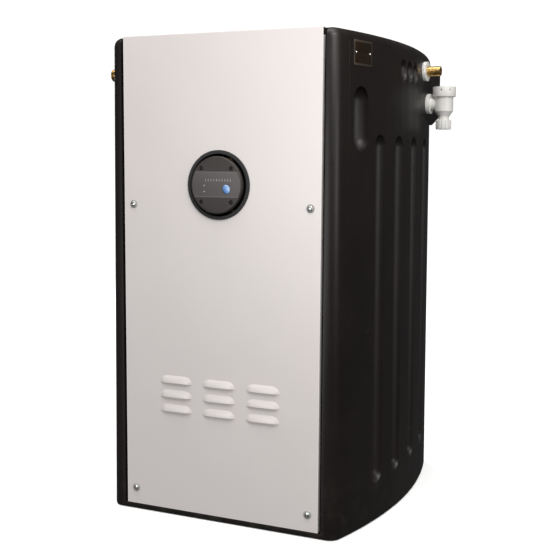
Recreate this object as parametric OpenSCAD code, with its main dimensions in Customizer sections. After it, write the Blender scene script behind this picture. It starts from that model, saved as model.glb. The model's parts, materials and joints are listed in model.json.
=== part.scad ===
// Home water booster: a moulded break tank with a pump bay in its front, shut by a sheet cover.
// X runs to the right, Y to the back and Z up. The origin is the middle of the tank's base.

/* [Tank] */
// Height of the tank
tank_h = 1000; // [970:1:1040]
// Width across the bowed sides at the floor
tank_w = 604; // [598:1:640]
// Depth from the cover's face to the flat back
tank_d = 630; // [615:1:680]
// Radius of the bow of each side wall
side_bow_r = 1122; // [1000:1:1600]
// Lean of each side wall over the whole height
side_draft = 8; // [4:0.5:10]
// Thickness of the moulded wall
wall = 6; // [5:0.5:7]
// Radius of the front corner columns
front_corner_r = 25; // [22:1:30]
// Radius of the rear corners
rear_corner_r = 45; // [35:1:70]
// Rounding of the top edge
top_edge_r = 18; // [14:1:20]
// Rounding of the bottom edge
foot_edge_r = 6; // [4:1:8]

/* [Flutes and grips] */
// Width of a long flute
flute_w = 46; // [40:1:50]
// Depth of a long flute
flute_depth = 18; // [12:1:20]
// Height of the flutes' lower ends
flute_low = 82; // [70:1:120]
// Height of the flutes' upper ends
flute_high = 804; // [760:1:830]
// Distance of the hand grips from the front
grip_back = 81; // [78:1:88]
// Width of a hand grip
grip_w = 54; // [48:1:58]
// Depth of a hand grip
grip_depth = 26; // [20:1:28]
// Height of a hand grip's lower end
grip_low = 769; // [760:1:780]
// Height of a hand grip's upper end
grip_high = 894; // [880:1:900]
// Width of each finger groove near the top
finger_w = 38; // [32:1:40]
// Depth of each finger groove
finger_depth = 14; // [10:1:16]
// Height of a finger groove's lower end
finger_low = 915; // [905:1:920]
// Length of a finger groove
finger_l = 49; // [46:1:54]

/* [Pump bay] */
// Width of the recess that holds the cover
recess_w = 456; // [450:1:462]
// Depth of the recess
recess_d = 20; // [18:1:24]
// Width of the pump bay
bay_w = 372; // [370:1:376]
// Depth of the pump bay from the front of the tank
bay_d = 225; // [220:1:250]
// Height of the bay's floor
bay_floor = 40; // [34:1:46]
// Distance from the bay's ceiling to the top
bay_drop = 45; // [40:1:50]

/* [Front cover] */
// Width of the sheet cover
cover_w = 443; // [438:1:446]
// Height of the tank's base lip under the cover
cover_foot = 14; // [12:1:20]
// Thickness of the sheet
sheet_t = 1.2; // [1:0.1:1.5]
// Depth of the folded edges
return_d = 12; // [8:1:14]
// Distance of the cover screws from the sheet's side edges
screw_inset = 22; // [21:1:24]
// Height of the lower cover screws
low_screw_z = 49; // [44:1:60]
// Height of the upper cover screws
high_screw_z = 658; // [640:1:680]
// Height of the round window's centre
window_z = 700; // [690:1:710]
// Radius of the round window
window_r = 65; // [64:0.5:66]
// Length of a louvre
louvre_l = 74; // [66:1:78]
// Height of a louvre
louvre_h = 15; // [12:1:17]
// How far a louvre stands out
louvre_proud = 4.5; // [3:0.5:6]
// Spacing of the louvre columns
louvre_pitch_x = 100; // [92:1:104]
// Spacing of the louvre rows
louvre_pitch_z = 30.5; // [28:0.5:34]
// Height of the lowest louvres' open edge
louvre_z = 226; // [220:1:240]

/* [Controller] */
// Radius of the control face
face_r = 57.5; // [56:0.5:59]
// How far the face stands out of the window ring
face_proud = 8; // [6:0.5:10]
// Thickness of the face
face_t = 8; // [7:0.5:9]
// Depth of the drum behind the face
drum_d = 66; // [65:0.5:68]
// Side of the square of face screws
face_screw_side = 67; // [64:1:68]
// Height of the display panel
overlay_h = 51; // [46:1:52]
// Travel of the reset button
button_travel = 1; // [0.5:0.1:1.5]
// Length of the flow tube
flow_tube_l = 150; // [140:1:160]

/* [Water inlet and overflow] */
// Distance of the fittings' flat from the middle
pad_x = 288; // [286:0.5:292]
// Height of the inlet valve
inlet_z = 952; // [950:1:953]
// Place of the inlet valve behind the middle
inlet_y = 131; // [125:1:140]
// Outer radius of the inlet's threaded tail
tail_r = 10.48; // [10.3:0.01:10.6]
// Length of the tail outside its nut
tail_l = 30; // [22:1:34]
// Length of the float arm from its pin to the ball's centre
float_arm_l = 225; // [200:1:240]
// Radius of the ball float
float_r = 57; // [50:1:60]
// Angle of the empty tank's float arm below the horizontal
float_drop = 58; // [50:1:62]
// Height of the overflow
overflow_z = 882; // [878:1:886]
// Place of the overflow behind the middle
overflow_y = 165; // [158:1:172]
// Distance from the flat to the overflow's upright
tee_reach = 38; // [36:1:42]
// Radius of the overflow's body
tee_r = 20.8; // [20:0.1:22]
// Radius of the pipe socket
socket_r = 10.85; // [10.6:0.05:11]

/* [Pump] */
// Distance of the pump's axis from the front of the tank
pump_back = 80; // [78:1:84]
// Height of the pump's axis over its base plate
pump_rise = 78; // [76:1:82]
// Outer radius of the stage sleeve
sleeve_r = 60; // [58:0.5:61]
// Length of one pump stage
stage_l = 24; // [22:0.5:25]
// Radius of an impeller
impeller_r = 46; // [42:1:48]
// Radius of the pump shaft
shaft_r = 7.5; // [7.4:0.1:7.6]
// Radius of the motor's barrel
motor_r = 58; // [57:0.5:60]
// Length of the motor's barrel
motor_l = 110; // [105:1:112]
// Height of the cooling fins
fin_h = 7; // [5:0.5:8]

/* [Pipework] */
// Height of the outlet
outlet_z = 930; // [925:1:934]
// Outer radius of the pipes
pipe_r = 11; // [10:0.5:12]
// Wall of the pipes
pipe_t = 1.5; // [1:0.1:2]
// Radius of the pipe's bend
bend_r = 40; // [34:1:44]
// Radius of the outlet's thread
outlet_r = 13.2; // [12.8:0.1:13.4]
// Height of the cable entry on the left side
entry_z = 735; // [720:1:740]

/* [Hidden] */

$fn = 48;
// Overrun of every cut, and the gaps between pieces
cut = 1;
seat_gap = 0.3;
run_gap = 0.05;
press_gap = 0.02;
slip_gap = 0.2;

tank_colour = "#3a3230";
cover_colour = "#dcd7d1";
casting_colour = "#3b4a52";
steel_colour = "#b9bcc0";
brass_colour = "#c79a45";
white_colour = "#efece6";
rubber_colour = "#24211f";

front_y = -tank_d / 2;
recess_y = front_y + recess_d;
bay_back_y = front_y + bay_d;
bay_top = tank_h - bay_drop;
side_lean = atan(side_draft / tank_h);

// Outline of the tank
corner_steps = 6;
side_steps = 12;
foot_steps = 2;
edge_steps = 4;
capsule_steps = 6;

function arc(x, y, r, from, to, n) =
    [for (i = [0:n]) let (a = from + (to - from) * i / n) [x + r * cos(a), y + r * sin(a)]];
function rounded(w, h, r, n = 6) = let (x = w / 2 - r, y = h / 2 - r)
    concat(arc(x, -y, r, -90, 0, n), arc(x, y, r, 0, 90, n),
        arc(-x, y, r, 90, 180, n), arc(-x, -y, r, 180, 270, n));

front_corner_y = front_y + front_corner_r;
rear_corner_y = tank_d / 2 - rear_corner_r;
front_turn = asin(front_corner_y / (side_bow_r - front_corner_r));
rear_turn = asin(rear_corner_y / (side_bow_r - rear_corner_r));
side_turn = (rear_turn - front_turn) / (side_steps + 2);

function half_width(z) = tank_w / 2 - side_draft * z / tank_h;
function bow_x(y, z) = half_width(z) - side_bow_r + sqrt(side_bow_r ^ 2 - y ^ 2);
function corner_x(y, r, z) = half_width(z) - side_bow_r + sqrt((side_bow_r - r) ^ 2 - y ^ 2);
function right_half(z, inset) = concat(
    arc(corner_x(front_corner_y, front_corner_r, z), front_corner_y, front_corner_r - inset,
        -90, front_turn, corner_steps),
    arc(half_width(z) - side_bow_r, 0, side_bow_r - inset,
        front_turn + side_turn, rear_turn - side_turn, side_steps),
    arc(corner_x(rear_corner_y, rear_corner_r, z), rear_corner_y, rear_corner_r - inset,
        rear_turn, 90, corner_steps));
function ring(z, inset) = let (half = right_half(z, inset)) concat(
    [for (p = half) [p[0], p[1], z]],
    [for (i = [len(half) - 1:-1:0]) [-half[i][0], half[i][1], z]]);
function rings(base, low_r, high_r) = concat(
    [for (i = [0:foot_steps]) let (a = 90 * i / foot_steps)
        ring(base + low_r * (1 - cos(a)), base + low_r * (1 - sin(a)))],
    [for (i = [0:edge_steps]) let (a = 90 * i / edge_steps)
        ring(tank_h - base - high_r * (1 - sin(a)), base + high_r * (1 - cos(a)))]);

// A solid through stacked rings of as many points each
module loft(rings) {
    n = len(rings[0]);
    last = (len(rings) - 1) * n;
    polyhedron(
        points = [for (r = rings) each r],
        faces = concat(
            [[for (i = [0:n - 1]) i]],
            [[for (i = [n - 1:-1:0]) last + i]],
            [for (k = [0:n:last - n], i = [0:n - 1]) [k + i, k + i + n, k + (i + 1) % n + n]],
            [for (k = [0:n:last - n], i = [0:n - 1])
                [k + i, k + (i + 1) % n + n, k + (i + 1) % n]]));
}

module both_sides() {
    children();
    mirror([1, 0, 0]) children();
}

// Puts a thing on the right side wall, turned and leaned with it
module on_side(y, z, out) {
    translate([half_width(z) - side_bow_r, 0, z])
        rotate([0, 0, asin(y / side_bow_r)])
            translate([side_bow_r + out, 0, 0]) rotate([0, -side_lean, 0]) children();
}

module capsule(r, length) {
    rotate_extrude() polygon(concat(
        arc(0, r - length / 2, r, -90, 0, capsule_steps),
        arc(0, length / 2 - r, r, 0, 90, capsule_steps)));
}

// Radius of a round-bottomed pocket of a given width and depth
function pocket_r(width, depth) = ((width / 2) ^ 2 + depth ^ 2) / (2 * depth);

module pocket(y, low, high, width, depth) {
    r = pocket_r(width, depth);
    on_side(y, (low + high) / 2, r - depth) capsule(r, high - low);
}

// The wall's inner bulge behind a pocket
module pocket_back(y, low, high, width, depth) {
    r = pocket_r(width, depth);
    on_side(y, (low + high) / 2, r - depth) rotate([0, 0, 15])
        translate([0, 0, (low - high) / 2 - wall])
            cylinder(h = high - low + 2 * wall, r = (r + wall) / cos(15), $fn = 12);
}

// The flutes' places as shares of the tank's depth
flute_place_shares = [-0.25, -0.1, 0.065, 0.25];
finger_gap = 4;
finger_pitch = finger_w + finger_gap;
finger_y = 1.6;

module pockets() {
    both_sides() {
        for (share = flute_place_shares)
            pocket(share * tank_d, flute_low, flute_high, flute_w, flute_depth);
        pocket(front_y + grip_back, grip_low, grip_high, grip_w, grip_depth);
        for (i = [-1:1])
            pocket(finger_y + i * finger_pitch, finger_low, finger_low + finger_l,
                finger_w, finger_depth);
    }
}

module pocket_backs() {
    finger_half = finger_pitch + finger_w / 2 + wall;
    both_sides() {
        for (share = flute_place_shares)
            pocket_back(share * tank_d, flute_low, flute_high, flute_w, flute_depth);
        pocket_back(front_y + grip_back, grip_low, grip_high, grip_w, grip_depth);
        on_side(finger_y, finger_low, -finger_depth - wall) translate([0, -finger_half, -wall])
            cube([finger_depth + 2 * wall, 2 * finger_half, finger_l + 2 * wall]);
    }
}

// The flat that carries the inlet and the overflow
pad_root = 220;
pad_under_overflow = 44;
pad_over_inlet = 20;
pad_past_side = 7;
pad_low = overflow_z - pad_under_overflow;
pad_high = inlet_z + pad_over_inlet;
pad_rear = tank_d / 2 - rear_corner_r + pad_past_side;
pad_slope = 21;
pad_round = 14;

module pad(inset) {
    x = pad_x - inset;
    high = pad_high - inset;
    rear = pad_rear - inset;
    low = pad_low + inset * (sqrt(2) - 1);
    round_r = inset > 0 ? cut : pad_round;
    intersection() {
        translate([0, 0, pad_low - pad_slope]) linear_extrude(pad_high - pad_low + 2 * pad_slope)
            polygon(concat([[pad_root, 0], [x, 0]],
                arc(x - round_r, rear - round_r, round_r, 0, 90, corner_steps),
                [[pad_root, rear]]));
        rotate([90, 0, 0]) translate([0, 0, -tank_d / 2]) linear_extrude(tank_d / 2 + cut)
            polygon(concat([[pad_root, low], [x - pad_slope, low], [x, low + pad_slope]],
                arc(x - round_r, high - round_r, round_r, 0, 90, corner_steps),
                [[pad_root, high]]));
    }
}

module bay(grow) {
    h = bay_top - bay_floor + 2 * grow;
    r = bay_corner_r + grow;
    w = bay_w + 2 * grow;
    translate([0, 0, bay_floor - grow]) linear_extrude(h) polygon(concat(
        arc(w / 2 - r, bay_back_y + grow - r, r, 0, 90, corner_steps),
        arc(r - w / 2, bay_back_y + grow - r, r, 90, 180, corner_steps),
        [[-w / 2, front_y - cut], [w / 2, front_y - cut]]));
}
bay_corner_r = 6;

module recess(grow) {
    translate([-recess_w / 2 - grow, front_y - cut, grow > 0 ? -cut : cover_foot - cut])
        cube([recess_w + 2 * grow, recess_d + grow + cut, tank_h + cut]);
}

// Access hatch in the top, over the inlet valve
lid_x = 110;
lid_y = 110;
lid_r = 118;
hatch_r = 100;
lid_sink = 14;
lid_t = 5;
lid_rim_h = 6;
lid_rim_t = 4;
lid_spigot_h = 9;
lid_z = tank_h - lid_sink;
lid_screw_circle_r = (hatch_r + lid_r) / 2;
small_screw_r = 2;

// Side entries on the left, behind the front column
foot_h = 12;
base_t = 3;
pump_y = front_y + pump_back;
pump_z = bay_floor + foot_h + base_t + pump_rise;
boss_proud = 5;
boss_r = 24;
entry_r = 8;
entry_boss_r = 17;
outlet_face_x = -bow_x(pump_y, outlet_z) - boss_proud;
entry_face_x = -bow_x(pump_y, entry_z) - boss_proud;

module side_entry(z, r, x_end, grow) {
    translate([x_end, pump_y, z]) rotate([0, 90, 0])
        cylinder(h = -x_end - bay_w / 2 + cut, r = r + grow);
}

module water_space() {
    difference() {
        union() {
            loft(rings(wall, top_edge_r - wall, top_edge_r - wall));
            pad(wall);
        }
        bay(wall);
        recess(wall);
        pocket_backs();
        translate([lid_x, lid_y, lid_z - wall]) cylinder(h = lid_sink + wall, r = lid_r + wall);
        side_entry(outlet_z, outlet_r + seat_gap, outlet_face_x - cut, wall);
        side_entry(entry_z, entry_r + seat_gap, entry_face_x - cut, wall);
    }
}

screw_boss_r = 9;
screw_r = 2.4;
screw_l = 20;
cover_screw_x = cover_w / 2 - screw_inset;
cover_screw_places = [for (x = [-1, 1], z = [low_screw_z, high_screw_z]) [x * cover_screw_x, z]];

module at_cover_screws(y) {
    for (p = cover_screw_places) translate([p[0], y, p[1]]) rotate([-90, 0, 0]) children();
}

module at_lid_screws(z) {
    for (a = [45:90:315]) translate([lid_x, lid_y, z]) rotate([0, 0, a])
        translate([lid_screw_circle_r, 0, 0]) children();
}

// Rating plate on the right side, near the front
plate_w = 66;
plate_h = 48;
plate_t = 1.2;
plate_sink = 0.9;
plate_back = 86;
plate_drop = 43;
plate_y = front_y + plate_back;
plate_z = tank_h - plate_drop;
rivet_r = 1.25;
rivet_side = 51;
rivet_l = 5;
rivet_head_r = 2.4;
rivet_head_h = 1.2;

module on_plate(out) {
    on_side(plate_y, plate_z, out) children();
}

module at_rivets() {
    for (side = [-1, 1]) translate([0, side * rivet_side / 2, 0]) rotate([0, 90, 0]) children();
}

module tank() color(tank_colour) {
    difference() {
        union() {
            difference() {
                union() {
                    loft(rings(0, foot_edge_r, top_edge_r));
                    pad(0);
                    side_entry(outlet_z, boss_r, outlet_face_x, 0);
                    side_entry(entry_z, entry_boss_r, entry_face_x, 0);
                }
                recess(0);
                bay(0);
                pockets();
                water_space();
                translate([lid_x, lid_y, lid_z])
                    cylinder(h = lid_sink + cut, r = lid_r + seat_gap);
                translate([lid_x, lid_y, lid_z - wall - cut])
                    cylinder(h = lid_sink + wall, r = hatch_r);
            }
            at_cover_screws(front_y + sheet_t)
                cylinder(h = recess_d - sheet_t + wall / 2, r = screw_boss_r);
        }
        at_cover_screws(front_y + sheet_t - cut)
            cylinder(h = screw_l + 2 * cut, r = screw_r + run_gap);
        at_lid_screws(lid_z - wall - cut)
            cylinder(h = wall + 2 * cut, r = small_screw_r + run_gap);
        side_entry(outlet_z, outlet_r + seat_gap, outlet_face_x - cut, 0);
        side_entry(entry_z, entry_r + seat_gap, entry_face_x - cut, 0);
        translate([pad_root, inlet_y, inlet_z]) rotate([0, 90, 0])
            cylinder(h = pad_x - pad_root + cut, r = tail_r + slip_gap);
        along_x(pad_x, inlet_y, inlet_z) cylinder(h = 2 * valve_nut_t, r = valve_nut_r + seat_gap);
        translate([pad_root, overflow_y, overflow_z]) rotate([0, 90, 0])
            cylinder(h = pad_x - pad_root + cut, r = spigot_r + slip_gap);
        translate([suction_x, bay_back_y - cut, pump_z]) rotate([-90, 0, 0])
            cylinder(h = wall + 2 * cut, r = suction_r + slip_gap);
        on_plate(-plate_sink) translate([0, -plate_w / 2 - slip_gap, -plate_h / 2 - slip_gap])
            cube([plate_sink + 2 * cut, plate_w + 2 * slip_gap, plate_h + 2 * slip_gap]);
        on_plate(-plate_sink - rivet_l) at_rivets()
            cylinder(h = rivet_l + plate_t, r = rivet_r + run_gap);
    }
}

module tank_lid() color(tank_colour) {
    translate([lid_x, lid_y, lid_z]) difference() {
        union() {
            cylinder(h = lid_t, r = lid_r);
            difference() {
                cylinder(h = lid_t + lid_rim_h, r = lid_r);
                cylinder(h = lid_t + lid_rim_h + cut, r = lid_r - lid_rim_t);
            }
            translate([0, 0, -lid_spigot_h])
                cylinder(h = lid_spigot_h + lid_t / 2, r = hatch_r - seat_gap);
        }
        translate([0, 0, -lid_spigot_h - cut])
            cylinder(h = lid_spigot_h + cut, r = hatch_r - seat_gap - lid_rim_t);
        for (a = [0:vent_a:360 - vent_a]) rotate([0, 0, a]) translate([vent_circle_r, 0, -cut])
            cylinder(h = lid_t + 2 * cut, r = vent_r);
        translate([-lid_x, -lid_y, 0]) at_lid_screws(-cut)
            cylinder(h = lid_t + 2 * cut, r = small_screw_r + slip_gap);
    }
}
vent_a = 30;
vent_r = 2.5;
vent_circle_r = 22;

// A pan-headed screw that points along Z, with its head's seat at the origin
module pan_screw(r, length, head_r, head_h) {
    difference() {
        union() {
            cylinder(h = length, r = r);
            translate([0, 0, -head_h]) rotate_extrude() polygon(concat(
                [[0, head_h], [head_r, head_h]],
                arc(head_r - head_h / 2, head_h / 2, head_h / 2, 0, -90, corner_steps),
                [[0, 0]]));
        }
        for (a = [0, 90]) rotate([0, 0, a])
            translate([-head_r * slot_share, -slot_w / 2, -head_h - cut])
                cube([2 * head_r * slot_share, slot_w, cut + head_h / 2]);
    }
}
slot_share = 0.6;
slot_w = 1.1;
small_head_r = 4;
small_head_h = 2.2;

module lid_screws() color(steel_colour) {
    at_lid_screws(lid_z + lid_t) mirror([0, 0, 1])
        pan_screw(small_screw_r, wall + lid_t, small_head_r, small_head_h);
}

// The folded sheet cover with its window and louvres
cover_h = tank_h - cover_foot;
return_stop = 15;
louvre_r = ((louvre_h ^ 2) + louvre_proud ^ 2) / (2 * louvre_proud);

module at_louvres() {
    for (i = [-1:1], k = [0:2])
        translate([i * louvre_pitch_x, 0, louvre_z + k * louvre_pitch_z]) children();
}

// Upper half of a lying capsule whose axis is behind the sheet
module hood(shrink) {
    r = louvre_r - shrink;
    translate([0, front_y + louvre_r - louvre_proud, 0]) rotate([0, 90, 0]) rotate([0, 0, 90])
        rotate_extrude(angle = 180) polygon(concat(
            arc(0, r - louvre_l / 2 + (louvre_h - louvre_r), r, -90, 0, capsule_steps),
            arc(0, louvre_l / 2 - r - (louvre_h - louvre_r), r, 0, 90, capsule_steps)));
}

module front_cover() color(cover_colour) {
    difference() {
        union() {
            translate([-cover_w / 2, front_y, cover_foot]) cube([cover_w, sheet_t, cover_h]);
            both_sides() translate([cover_w / 2 - sheet_t, front_y, cover_foot])
                cube([sheet_t, return_d, cover_h - return_stop]);
            translate([-cover_w / 2, front_y, tank_h - sheet_t])
                cube([cover_w, return_d, sheet_t]);
            translate([return_stop - cover_w / 2, front_y, cover_foot])
                cube([cover_w - 2 * return_stop, return_d, sheet_t]);
            at_louvres() intersection() {
                hood(0);
                translate([-louvre_l, front_y - louvre_proud - cut, 0])
                    cube([2 * louvre_l, louvre_proud + cut + sheet_t / 2, louvre_h + cut]);
            }
        }
        at_louvres() hood(sheet_t);
        translate([0, front_y - cut, window_z]) rotate([-90, 0, 0])
            cylinder(h = sheet_t + 2 * cut, r = window_r);
        at_cover_screws(front_y - cut) cylinder(h = sheet_t + 2 * cut, r = screw_r + seat_gap);
    }
}

washer_r = 8.5;
washer_t = 1.5;
head_r = 5.5;
head_h = 2.8;

module cover_screws() color(steel_colour) {
    at_cover_screws(front_y - washer_t) pan_screw(screw_r, screw_l, head_r, head_h);
}

module cover_washers() color("#c9c8c4") {
    at_cover_screws(front_y - washer_t) rotate_extrude() polygon([[screw_r + seat_gap, 0],
        [head_r, 0], [washer_r, washer_t * 2 / 3], [washer_r, washer_t],
        [screw_r + seat_gap, washer_t]]);
}

// The ring that edges the window
ring_r = 69.65;
ring_in_r = 62.5;
ring_proud = 3;
ring_back_r = 68;
ring_back_t = 2.5;

module window_grommet() color(rubber_colour) {
    translate([0, front_y, window_z]) rotate([-90, 0, 0]) rotate_extrude() polygon(concat(
        [[ring_in_r, -ring_proud], [ring_r - ring_proud / 2, -ring_proud]],
        arc(ring_r - ring_proud / 2, -ring_proud / 2, ring_proud / 2, -90, 0, corner_steps),
        [[ring_r, 0], [window_r - run_gap, 0], [window_r - run_gap, sheet_t],
        [ring_back_r, sheet_t], [ring_back_r, sheet_t + ring_back_t],
        [ring_in_r, sheet_t + ring_back_t]]));
}

module rating_plate() color("#8c7a5c") {
    on_plate(-plate_sink) difference() {
        translate([0, -plate_w / 2, -plate_h / 2]) cube([plate_t, plate_w, plate_h]);
        translate([-cut, 0, 0]) at_rivets()
            cylinder(h = plate_t + 2 * cut, r = rivet_r + slip_gap);
    }
}

module plate_rivets() color(steel_colour) {
    on_plate(plate_t - plate_sink) at_rivets() {
        translate([0, 0, -plate_t - rivet_l + cut]) cylinder(h = plate_t + rivet_l - cut, r = rivet_r);
        rotate_extrude() polygon([[0, 0], [rivet_head_r, 0], [rivet_head_r * slot_share,
            rivet_head_h], [0, rivet_head_h]]);
    }
}

// The pressure controller: a drum on an upright flow tube
face_y = front_y - ring_proud - face_proud;
drum_y = face_y + face_t;
drum_inset = 2.5;
drum_r = face_r - drum_inset;
drum_wall = 3;
tube_r = 20;
tube_low = window_z - flow_tube_l / 2;
tube_high = window_z + flow_tube_l / 2;
thread_r = 16.6;
thread_l = 15;
flow_r = 12.5;
check_r = 15;
seat_rise = 28;
chamber_l = 57;
check_low = tube_low + seat_rise;
check_high = check_low + chamber_l;
seat_r = 10.5;
guide_r = 3;
guide_t = 4;
guide_hub_r = 6.5;
guide_hub_l = 14;
guide_rise = 34;
guide_z = check_low + guide_rise;
poppet_r = 13.5;
poppet_t = 5;
poppet_stem_l = 42;
poppet_travel = 8;
lug_r = 6;

module controller_screw_places() {
    for (x = [-1, 1], z = [-1, 1])
        translate([x * face_screw_side / 2, 0, z * face_screw_side / 2]) rotate([-90, 0, 0])
            children();
}

module controller_body() color(rubber_colour) {
    difference() {
        union() {
            translate([0, drum_y, window_z]) rotate([-90, 0, 0]) cylinder(h = drum_d, r = drum_r);
            translate([0, pump_y, tube_low]) cylinder(h = flow_tube_l, r = thread_r);
            translate([0, pump_y, tube_low + thread_l])
                cylinder(h = flow_tube_l - 2 * thread_l, r = tube_r);
            translate([gland_x, gland_y, drum_gland_z])
                cylinder(h = 1.5 * gland_thread_l, r = gland_r + cut);
        }
        difference() {
            translate([0, drum_y - cut, window_z]) rotate([-90, 0, 0])
                cylinder(h = drum_d - tube_r + cut, r = drum_r - drum_wall);
            translate([0, drum_y, window_z]) controller_screw_places()
                cylinder(h = drum_d, r = lug_r);
        }
        translate([0, drum_y - cut, window_z]) controller_screw_places()
            cylinder(h = screw_l, r = small_screw_r + run_gap);
        translate([0, pump_y, tube_low - cut]) cylinder(h = check_low - tube_low + 2 * cut, r = seat_r);
        difference() {
            translate([0, pump_y, check_low]) cylinder(h = check_high - check_low, r = check_r);
            for (a = [0, 60, 120]) translate([0, pump_y, guide_z]) rotate([0, 0, a])
                translate([-check_r - cut, -guide_t / 2, 0])
                    cube([2 * check_r + 2 * cut, guide_t, 2 * guide_t]);
            translate([0, pump_y, guide_z + guide_t - guide_hub_l / 2])
                cylinder(h = guide_hub_l, r = guide_hub_r);
        }
        translate([0, pump_y, guide_z + guide_t - guide_hub_l / 2 - cut])
            cylinder(h = guide_hub_l + 2 * cut, r = guide_r + run_gap);
        translate([0, pump_y, check_high - cut])
            cylinder(h = tube_high - check_high + 2 * cut, r = flow_r);
        translate([gland_x, gland_y, drum_gland_z - cut])
            cylinder(h = 2 * gland_thread_l, r = gland_thread_r + run_gap);
    }
}

module check_poppet() color(white_colour) {
    translate([0, pump_y, check_low + run_gap]) {
        cylinder(h = poppet_t, r = poppet_r);
        cylinder(h = poppet_stem_l, r = guide_r);
    }
}

overlay_t = 0.8;
overlay_inset = 3.5;
overlay_r = face_r - overlay_inset;
overlay_rise = 1.5;
button_x = 23;
button_z = -7.5;
button_w = 15;
button_h = 18;
button_turn = -25;
button_proud = 1.4;
button_flange = 2;

function oval(w, h) = [for (a = [0:15:345]) [w / 2 * cos(a), h / 2 * sin(a)]];

// An upright oval plate or hole at the button's place, from y over a depth
module button_prism(grow, y, depth) {
    translate([button_x, y, window_z + button_z]) rotate([90, -button_turn, 0])
        translate([0, 0, -depth]) linear_extrude(depth)
            polygon(oval(button_w + 2 * grow, button_h + 2 * grow));
}

// Lamps: a scale of ten bars and two round ones
bar_w = 1.4;
bar_h = 5;
bar_pitch = 6.2;
bar_x = -24;
bar_z = 9.8;
lamp_r = 1.6;
lamp_x = -27;
lamp_drop = 12;
lamp_z = -1;
lamp_proud = 0.2;

module lamp_prisms(grow, y, depth) {
    for (i = [0:9]) translate([bar_x + i * bar_pitch - bar_w / 2 - grow, y,
        window_z + bar_z - bar_h / 2 - grow]) cube([bar_w + 2 * grow, depth, bar_h + 2 * grow]);
    for (i = [0:1]) translate([lamp_x, y, window_z + lamp_z - i * lamp_drop]) rotate([-90, 0, 0])
        cylinder(h = depth, r = lamp_r + grow);
}

module overlay_plate(grow, y, depth) {
    intersection() {
        translate([0, y, window_z]) rotate([-90, 0, 0]) cylinder(h = depth, r = overlay_r + grow);
        translate([-face_r, y - cut, window_z + overlay_rise - overlay_h / 2 - grow])
            cube([2 * face_r, depth + 2 * cut, overlay_h + 2 * grow]);
    }
}

face_edge_r = 3;
face_sink_r = 4.4;
face_sink = 3;

module controller_face() color("#2f2a28") {
    difference() {
        translate([0, face_y, window_z]) rotate([-90, 0, 0]) rotate_extrude() polygon(concat(
            [[0, 0]], arc(face_r - face_edge_r, face_edge_r, face_edge_r, -90, 0, corner_steps),
            [[face_r, face_t], [0, face_t]]));
        overlay_plate(run_gap, face_y - cut, overlay_t + cut);
        button_prism(slip_gap, face_y - cut, face_t + 2 * cut);
        translate([0, face_y, window_z]) controller_screw_places() {
            translate([0, 0, -cut]) cylinder(h = face_sink + cut, r = face_sink_r);
            cylinder(h = face_t + cut, r = small_screw_r + slip_gap);
        }
    }
}

module controller_screws() color(rubber_colour) {
    translate([0, face_y + face_sink, window_z]) controller_screw_places()
        pan_screw(small_screw_r, face_t, small_head_r, small_head_h);
}

module display_overlay() color("#5a5450") {
    difference() {
        overlay_plate(0, face_y, overlay_t);
        button_prism(slip_gap, face_y - cut, overlay_t + 2 * cut);
        lamp_prisms(run_gap, face_y - cut, overlay_t + 2 * cut);
    }
}

module reset_button() color("#5b8fd6") {
    button_prism(0, face_y - button_proud, face_t + button_proud + slip_gap);
    button_prism(button_flange, face_y + face_t + slip_gap, button_flange);
}

module indicator_lights() color("#c8ccce") {
    lamp_prisms(0, face_y - lamp_proud, overlay_t + lamp_proud);
}

// Union nuts: a hexagon with a lip that holds a pipe's collar against the thread's end
nut_l = 22;
nut_r = 22;
nut_lip = 4;
collar_r = 15.5;
collar_t = 4;

module union_nut() {
    difference() {
        cylinder(h = nut_l, r = nut_r, $fn = 6);
        translate([0, 0, -cut]) cylinder(h = nut_l + 2 * cut, r = pipe_r + slip_gap);
        translate([0, 0, nut_lip]) cylinder(h = nut_l, r = thread_r + run_gap);
    }
}
nut_back = nut_lip + collar_t + run_gap;

module union_nuts() color(brass_colour) {
    translate([0, pump_y, tube_low - nut_back]) union_nut();
    translate([0, pump_y, tube_high + nut_back]) mirror([0, 0, 1]) union_nut();
    translate([0, pump_y, port_top + nut_back]) mirror([0, 0, 1]) union_nut();
}

module pipe(r, bore, length) {
    difference() {
        cylinder(h = length, r = r);
        translate([0, 0, -cut]) cylinder(h = length + 2 * cut, r = bore);
    }
}

module riser_pipe() color("#c07f52") {
    length = tube_low - port_top;
    translate([0, pump_y, port_top]) {
        pipe(pipe_r, pipe_r - pipe_t, length);
        pipe(collar_r, pipe_r - pipe_t, collar_t);
        translate([0, 0, length - collar_t]) pipe(collar_r, pipe_r - pipe_t, collar_t);
    }
}

module outlet_pipe() color("#c07f52") {
    rise = outlet_z - bend_r - tube_high;
    run = bow_x(pump_y, outlet_z) - wall - bend_r;
    difference() {
        union() {
            translate([0, pump_y, tube_high]) {
                cylinder(h = rise, r = pipe_r);
                cylinder(h = collar_t, r = collar_r);
            }
            translate([-bend_r, pump_y, outlet_z - bend_r]) rotate([90, 0, 0])
                rotate_extrude(angle = 90) translate([bend_r, 0]) circle(r = pipe_r);
            translate([-bend_r, pump_y, outlet_z]) rotate([0, -90, 0])
                cylinder(h = run, r = pipe_r);
        }
        translate([0, pump_y, tube_high - cut]) cylinder(h = rise + cut, r = pipe_r - pipe_t);
        translate([-bend_r, pump_y, outlet_z - bend_r]) rotate([90, 0, 0])
            rotate_extrude(angle = 90) translate([bend_r, 0]) circle(r = pipe_r - pipe_t);
        translate([-bend_r, pump_y, outlet_z]) rotate([0, -90, 0])
            cylinder(h = run + cut, r = pipe_r - pipe_t);
    }
}

outlet_flange_r = 20;
outlet_flange_t = 5;
outlet_tail_l = 18;
outlet_socket = 30;

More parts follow.
